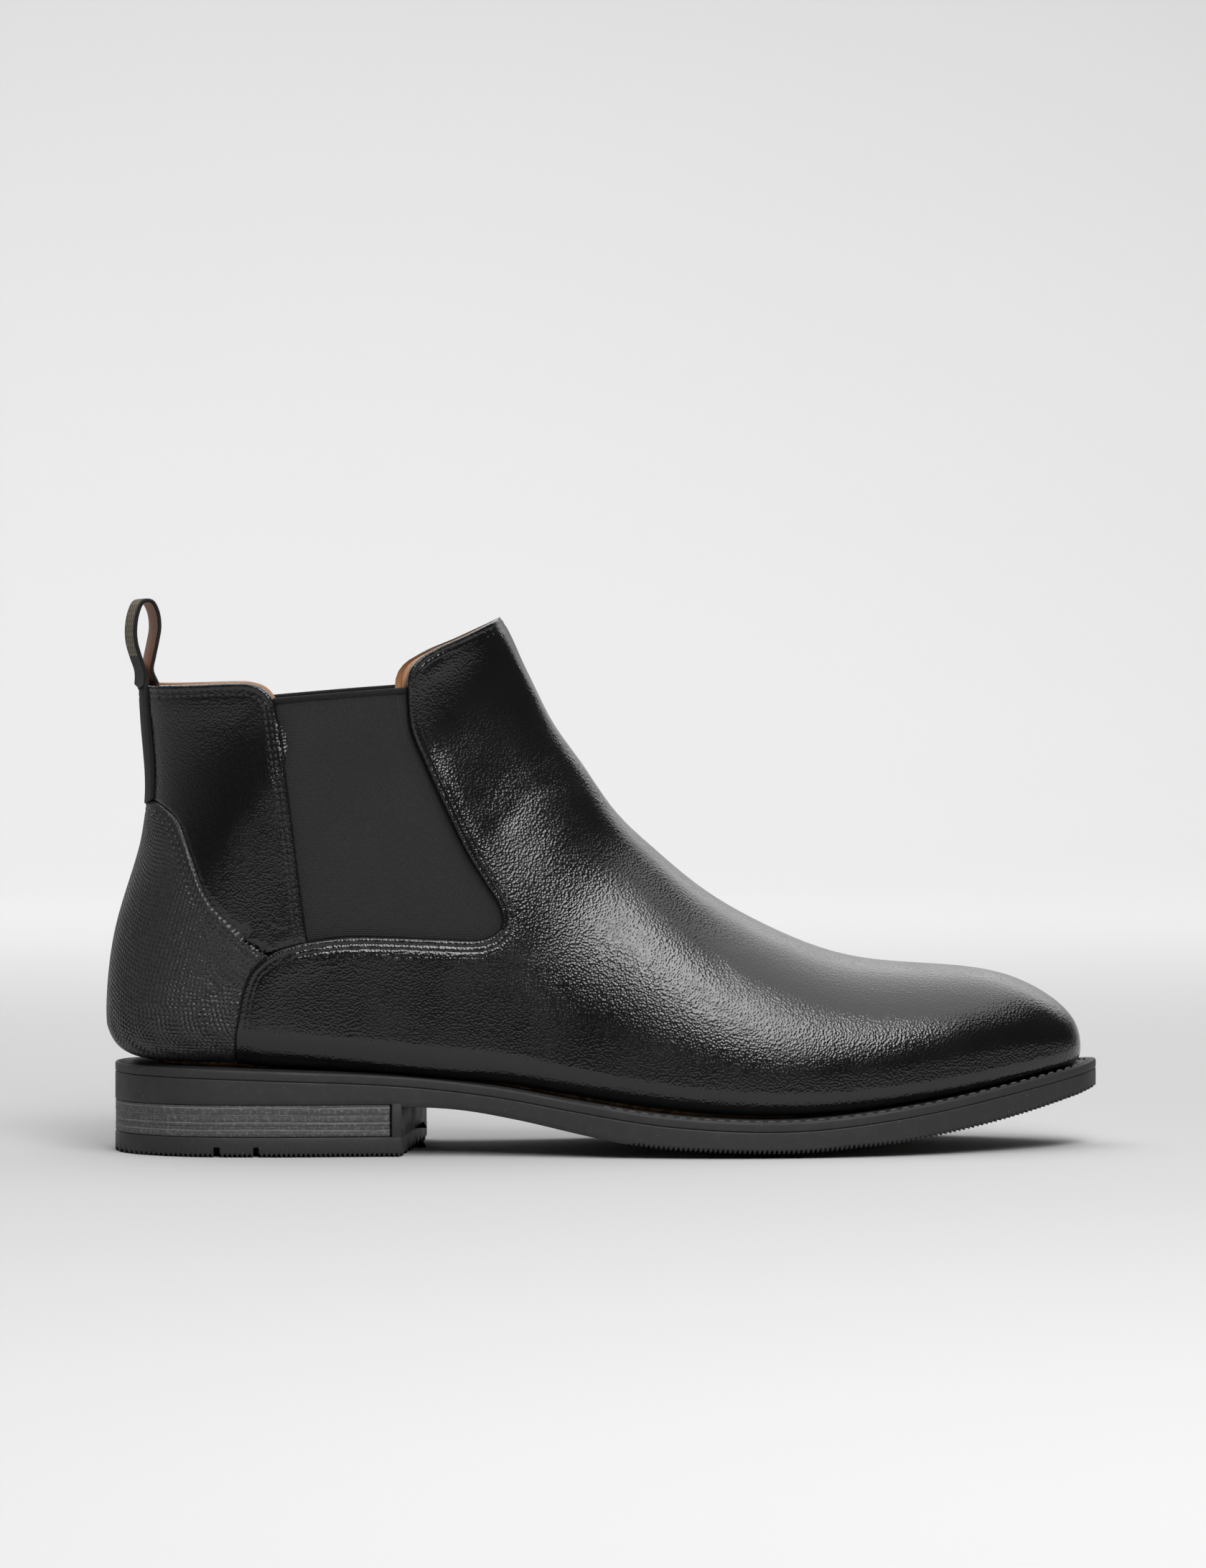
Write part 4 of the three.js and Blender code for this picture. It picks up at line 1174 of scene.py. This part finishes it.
def elastic():
    m = Nodes("ribbed_elastic", (0.02, 0.02, 0.021), 0.8, Sheen_Weight=0.2, Sheen_Roughness=0.45)
    across, up = m.cloth()
    weft = m.math("MULTIPLY", m.wave(up, 0.7, 1.0), m.wave(across, RIB, 0.8))
    m.bump(weft, 0.0002, 0.8)
    m.bump(m.noise(1300, 3, 0.7), 0.00016, 0.8)
    fuzz = m.ramp(m.noise(1100, 3, 0.7), 0.35, 0.65, 0.3, 1)
    # Painted shade: the colour is darker in the weave's hollows than on its threads; the fuzz varies the
    # threads' tone at random.
    threads = m.math("MULTIPLY", m.ramp(weft, 0.1, 0.9, 0.5, 1), fuzz)
    faded = m.mix(m.noise(150, 3), (0.008, 0.008, 0.0085), (0.018, 0.018, 0.019))
    m.color(m.mix(threads, (0.005, 0.005, 0.005), faded))
    return m.material


def tan_leather():
    m = Nodes("tan_lining", (0.42, 0.2, 0.085), 0.6)
    m.bump(m.noise(500, 3), 0.00012, 0.6)
    m.bump(m.cells(1300), 0.00006, 0.5)
    tone = m.mix(m.ramp(m.noise(35, 4), 0.3, 0.7), (0.33, 0.145, 0.055), (0.48, 0.24, 0.105))
    worn = m.ramp(m.noise(260, 2), 0.62, 0.75, 0, 0.5)
    m.color(m.mix(worn, tone, (0.24, 0.11, 0.05)))
    return m.material


def rubber():
    m = Nodes("black_rubber", (0.03, 0.03, 0.031), 0.62, Specular_IOR_Level=0.4)
    m.bump(m.noise(700, 3), 0.00012, 0.6)
    m.roughness(m.ramp(m.noise(90, 3), 0.3, 0.7, 0.52, 0.72))
    dust = m.ramp(m.noise(320, 4, 0.7), 0.5, 0.8, 0, 0.4)
    specks = m.math("MULTIPLY", m.ramp(m.cells(480), 0.09, 0.05), m.ramp(m.noise(120, 2), 0.56, 0.62))
    m.color(m.mix(specks, m.mix(dust, (0.027, 0.027, 0.028), (0.05, 0.05, 0.049)), (0.2, 0.2, 0.2)))
    return m.material


def stacked_leather():
    m = Nodes("stacked_leather", (0.05, 0.05, 0.05), 0.66)
    height = m.node("ShaderNodeSeparateXYZ", {0: m.place()}).outputs[2]
    wobble = m.math("ADD", height, m.math("MULTIPLY", m.noise(26, 3), 0.0019))
    layer = m.wave(wobble, LAYER, 1.0)
    m.bump(layer, 0.0003, 0.6)
    m.bump(m.noise(900, 4, 0.7), 0.00012, 0.8)
    streak = m.math("MULTIPLY", m.ramp(layer, 0.35, 0.0), m.ramp(m.noise(90, 3), 0.3, 0.6, 0.25, 1))
    tone = m.mix(streak, (0.058, 0.058, 0.058), (0.22, 0.22, 0.217))
    dust = m.ramp(m.noise(1000, 3, 0.8), 0.5, 0.66, 0, 0.6)
    m.color(m.mix(dust, tone, (0.2, 0.2, 0.198)))
    return m.material


def thread(name, color, roughness=0.5):
    m = Nodes(name, color, roughness, Sheen_Weight=0.2)
    across, up = m.cloth()
    m.bump(m.wave(m.math("ADD", across, up), 0.3), 0.0001, 0.7)
    m.color(m.mix(m.noise(1500, 2), tuple(c * 0.75 for c in color), tuple(c * 1.3 for c in color)))
    return m.material


def patterned_tape():
    """Woven tape with a plain running pattern of pale gold lozenges."""
    m = Nodes("patterned_tape", (0.01, 0.01, 0.01), 0.65, Sheen_Weight=0.05, Specular_IOR_Level=0.3)
    across, up = m.cloth()
    weave = m.math("MULTIPLY", m.wave(across, 0.45), m.wave(up, 0.4))
    m.bump(weave, 0.00016, 0.8)
    a = m.wave(m.math("ADD", across, up), 3.2, 1.0)
    b = m.wave(m.math("SUBTRACT", across, up), 3.2, 1.0)
    lozenge = m.ramp(m.math("MULTIPLY", a, b), 0.42, 0.5)
    inside = m.ramp(m.math("ABSOLUTE", across), 6.4, 6.0)
    # Painted shade: the gold is darker in the weave's hollows than on its threads.
    gold = m.mix(weave, (0.2, 0.135, 0.05), (0.46, 0.34, 0.15))
    m.color(m.mix(m.math("MULTIPLY", lozenge, inside), (0.012, 0.012, 0.012), gold))
    return m.material


def board():
    m = Nodes("fibre_board", (0.4, 0.27, 0.15), 0.85)
    m.bump(m.noise(600, 4, 0.7), 0.0003, 0.8)
    m.color(m.mix(m.noise(300, 4, 0.7), (0.28, 0.18, 0.09), (0.5, 0.35, 0.2)))
    return m.material


def cork():
    m = Nodes("cork", (0.36, 0.21, 0.1), 0.9)
    grain = m.cells(420, "Color")
    m.bump(m.cells(420), 0.0004, 0.8)
    tone = m.node("ShaderNodeSeparateColor", {0: grain}).outputs[0]
    m.color(m.mix(tone, (0.2, 0.1, 0.045), (0.5, 0.3, 0.15)))
    return m.material


def steel():
    m = Nodes("spring_steel", (0.5, 0.5, 0.51), 0.34, Metallic=1.0)
    m.bump(m.noise(1500, 2), 0.00004, 0.6)
    m.roughness(m.ramp(m.noise(200, 3), 0.3, 0.7, 0.28, 0.45))
    m.color(m.mix(m.noise(120, 3), (0.42, 0.42, 0.43), (0.58, 0.58, 0.59)))
    return m.material


CALF, EMBOSSED, TAPE, ELASTIC = calf(), embossed_calf(), tape(), elastic()
TAN, RUBBER, STACK, BOARD = tan_leather(), rubber(), stacked_leather(), board()
CORK, STEEL, PATTERN = cork(), steel(), patterned_tape()
BLACK_THREAD = thread("black_thread", (0.003, 0.003, 0.003), 0.6)
WELT_THREAD = thread("welt_thread", (0.075, 0.073, 0.07), 0.6)


# ---------------------------------------------------------------- placing the pieces
def dress(piece, material, node=None, body=None):
    """Gives a piece its material, hides the CAD solid that it stands for, and hangs it on the body that it
    rides on.
    """
    piece.data.materials.clear()
    piece.data.materials.append(material)
    if body:
        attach(piece, body)
    if node:
        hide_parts(node)
    return piece


def bend_with_leg(piece):
    """Bakes the piece's placing into its mesh."""
    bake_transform(piece)


def stretch_with_gore(piece):
    """Bakes the piece's placing into its mesh."""
    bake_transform(piece)


def place_upper():
    dress(make_vamp(), CALF, "vamp", "boot")
    dress(make_counter(), EMBOSSED, "heel_counter", "boot")
    for side_name, side in (("lateral", 1), ("medial", -1)):
        bend_with_leg(dress(make_quarter(side_name, side), CALF, f"quarter_{side_name}"))
        stretch_with_gore(dress(make_gore(side_name, side), ELASTIC, f"gore_{side_name}"))
        stretch_with_gore(dress(make_binding(side_name, side), TAPE, f"gore_binding_{side_name}"))
    bend_with_leg(dress(make_back_strip(), TAPE, "back_strip"))


def place_lining():
    dress(make_vamp_lining(), TAN, "vamp_lining", "boot")
    dress(make_heel_lining(), TAN, "heel_lining", "boot")
    bend_with_leg(dress(make_quarter_lining(), TAN, "quarter_lining"))
    dress(make_sock(), TAN, "sock_liner", "boot")


def place_loop():
    """The loop has a tan inner face, and a printed length on its outer face."""
    loop, outside_count, count = make_pull_loop()
    dress(loop, TAPE, "pull_loop")
    loop.data.materials.append(TAN)
    loop.data.materials.append(PATTERN)
    rows = (len(loop.data.polygons) - 2) // count
    for face in loop.data.polygons[:rows * count]:
        row, column = divmod(face.index, count)
        if column >= outside_count + 6:
            face.material_index = 1
        elif 7 <= column < outside_count - 1 and 0.52 < row / rows < 0.83:
            face.material_index = 2
    low, high = to_row([LOOP_X, 0, LOOP_Z - 1.6]), to_row([LOOP_X, 0, LOOP_Z + 3.4])
    tuple(low)
    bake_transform(loop)


def place_bottom():
    dress(make_welt(), RUBBER, "welt", "boot")
    dress(make_outsole(), RUBBER, "outsole", "boot")
    flap = dress(make_flap(), RUBBER, body="boot")
    flap.data.materials.append(STACK)
    for face in flap.data.polygons:
        face.material_index = int(face.normal.x > 0.8)
    for i in range(LIFTS):
        dress(make_lift(i), STACK, f"heel_lift_{i + 1}", "boot")
    dress(make_top_lift(), RUBBER, "top_lift", "boot")


def place_stitches():
    counter_edge = counter_top[counter_top[:, 0] > 13]
    fixed = [
        (gore_front, -1), (gore_foot[20:], -1), (collar_front, -1), (vamp_back[:-30], 1), (counter_edge, -1),
    ]
    fixed_rows = [row for line, sign in fixed for row in double_rows(line, sign)]
    dress(make_stitches("front_stitches", fixed_rows, 0.42), BLACK_THREAD, body="boot")
    moving_rows = double_rows(gore_back, -1) + double_rows(collar_back[collar_back[:, 0] > 12], -1)
    bend_with_leg(dress(make_stitches("back_stitches", moving_rows, 0.34), BLACK_THREAD))
    dress(make_welt_stitches(), WELT_THREAD, body="boot")
    dress(make_bar_tacks(), BLACK_THREAD, body="boot")


def finish_hidden_parts():
    """The pieces that nothing shows keep their CAD shape and get their real materials."""
    looks = {name: BOARD for name in ("toe_puff", "heel_stiffener", "insole_board")}
    looks |= {"cork_filler": CORK, "shank": STEEL}
    looks |= {name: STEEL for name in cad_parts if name.startswith("heel_nail")}
    for name, material in looks.items():
        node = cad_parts[name]
        node.data.materials.clear()
        node.data.materials.append(material)


place_upper()
place_lining()
place_loop()
place_bottom()
place_stitches()
finish_hidden_parts()


# ---------------------------------------------------------------- camera, floor and light
CAMERA_DISTANCE, CAMERA_TURN, CAMERA_HEIGHT, AIM_HEIGHT = 1.9, math.radians(-4), 0.149, 0.1135
FRAME_HEIGHT = 0.4903  # what the picture's long side takes in at the boot
AIM_BACK = 0.0018  # the camera aims a little behind the sole's middle
SENSOR = 36


def make_camera():
    data = bpy.data.cameras.new("camera")
    camera = bpy.data.objects.new("camera", data)
    bpy.context.scene.collection.objects.link(camera)
    aim_x = (outsole_low.x + outsole_high.x) / 2 - AIM_BACK
    aim = Vector((aim_x, SHIFT[1] / 1000, AIM_HEIGHT))
    back = Vector((math.sin(CAMERA_TURN), -math.cos(CAMERA_TURN), 0)) * CAMERA_DISTANCE
    camera.location = (aim.x + back.x, aim.y + back.y, CAMERA_HEIGHT)
    camera.rotation_mode = "QUATERNION"
    camera.rotation_quaternion = (aim - camera.location).to_track_quat("-Z", "Y")
    data.sensor_width = SENSOR
    data.lens = SENSOR * CAMERA_DISTANCE / FRAME_HEIGHT
    data.clip_start, data.clip_end = 0.05, 50
    bpy.context.scene.camera = camera


def make_floor():
    """A pale floor that curves up behind the boot and beyond its heel."""
    count, reach, flat = 61, 6, 2.2
    steps = np.linspace(-reach, reach, count)
    y, x = np.meshgrid(steps, steps, indexing="ij")
    rise = 0.4 * (np.clip(y - flat, 0, None) ** 2 + np.clip(-flat - x, 0, None) ** 2)
    points = np.stack([x, y, rise], -1) * 1000
    low = start_low.z * 1000
    vertices = points.reshape(-1, 3) - SHIFT + [0, 0, low - 0.05]
    floor = make_object("floor", vertices, grid_faces(count, count, 0, True))
    m = Nodes("paper", (0.57, 0.57, 0.57), 0.9, Specular_IOR_Level=0.1)
    m.color(m.mix(m.noise(2, 2), (0.565, 0.565, 0.565), (0.575, 0.575, 0.575)))
    floor.data.materials.append(m.material)


def area_light(name, at, aim, width, height, power, roll=0.0):
    """A softbox at a place, turned to a place and rolled about that direction."""
    data = bpy.data.lights.new(name, "AREA")
    data.shape, data.size, data.size_y, data.energy = "RECTANGLE", width, height, power
    lamp = bpy.data.objects.new(name, data)
    bpy.context.scene.collection.objects.link(lamp)
    lamp.location = at
    lamp.rotation_mode = "QUATERNION"
    towards = (Vector(aim) - Vector(at)).to_track_quat("-Z", "Y")
    lamp.rotation_quaternion = towards @ Quaternion((0, 0, 1), roll)
    return lamp


def make_lights():
    world = bpy.data.worlds.new("studio")
    bpy.context.scene.world = world
    world.use_nodes = True
    world.node_tree.nodes["Background"].inputs[0].default_value = (1, 1, 1, 1)
    world.node_tree.nodes["Background"].inputs[1].default_value = 0.035
    area_light("ceiling", (0, 0.7, 2.8), (0, 0.7, 0), 4.4, 3.6, 85)
    area_light("key", (0.2, -0.98, 1.05), (0.05, 0, 0.05), 0.5, 1.1, 16, math.radians(-35))
    area_light("backdrop", (0, 1.6, 1.9), (0, 3.4, 0.2), 4.0, 0.8, 60)
    rim = area_light("rim", (0, 2.3, 1.55), (0, 0, 0.1), 4.4, 1.3, 33)
    rim.visible_diffuse = False  # it shines on the leather without a bright band on the backdrop


make_camera()
make_floor()
make_lights()
bpy.context.scene.view_settings.view_transform = "Standard"
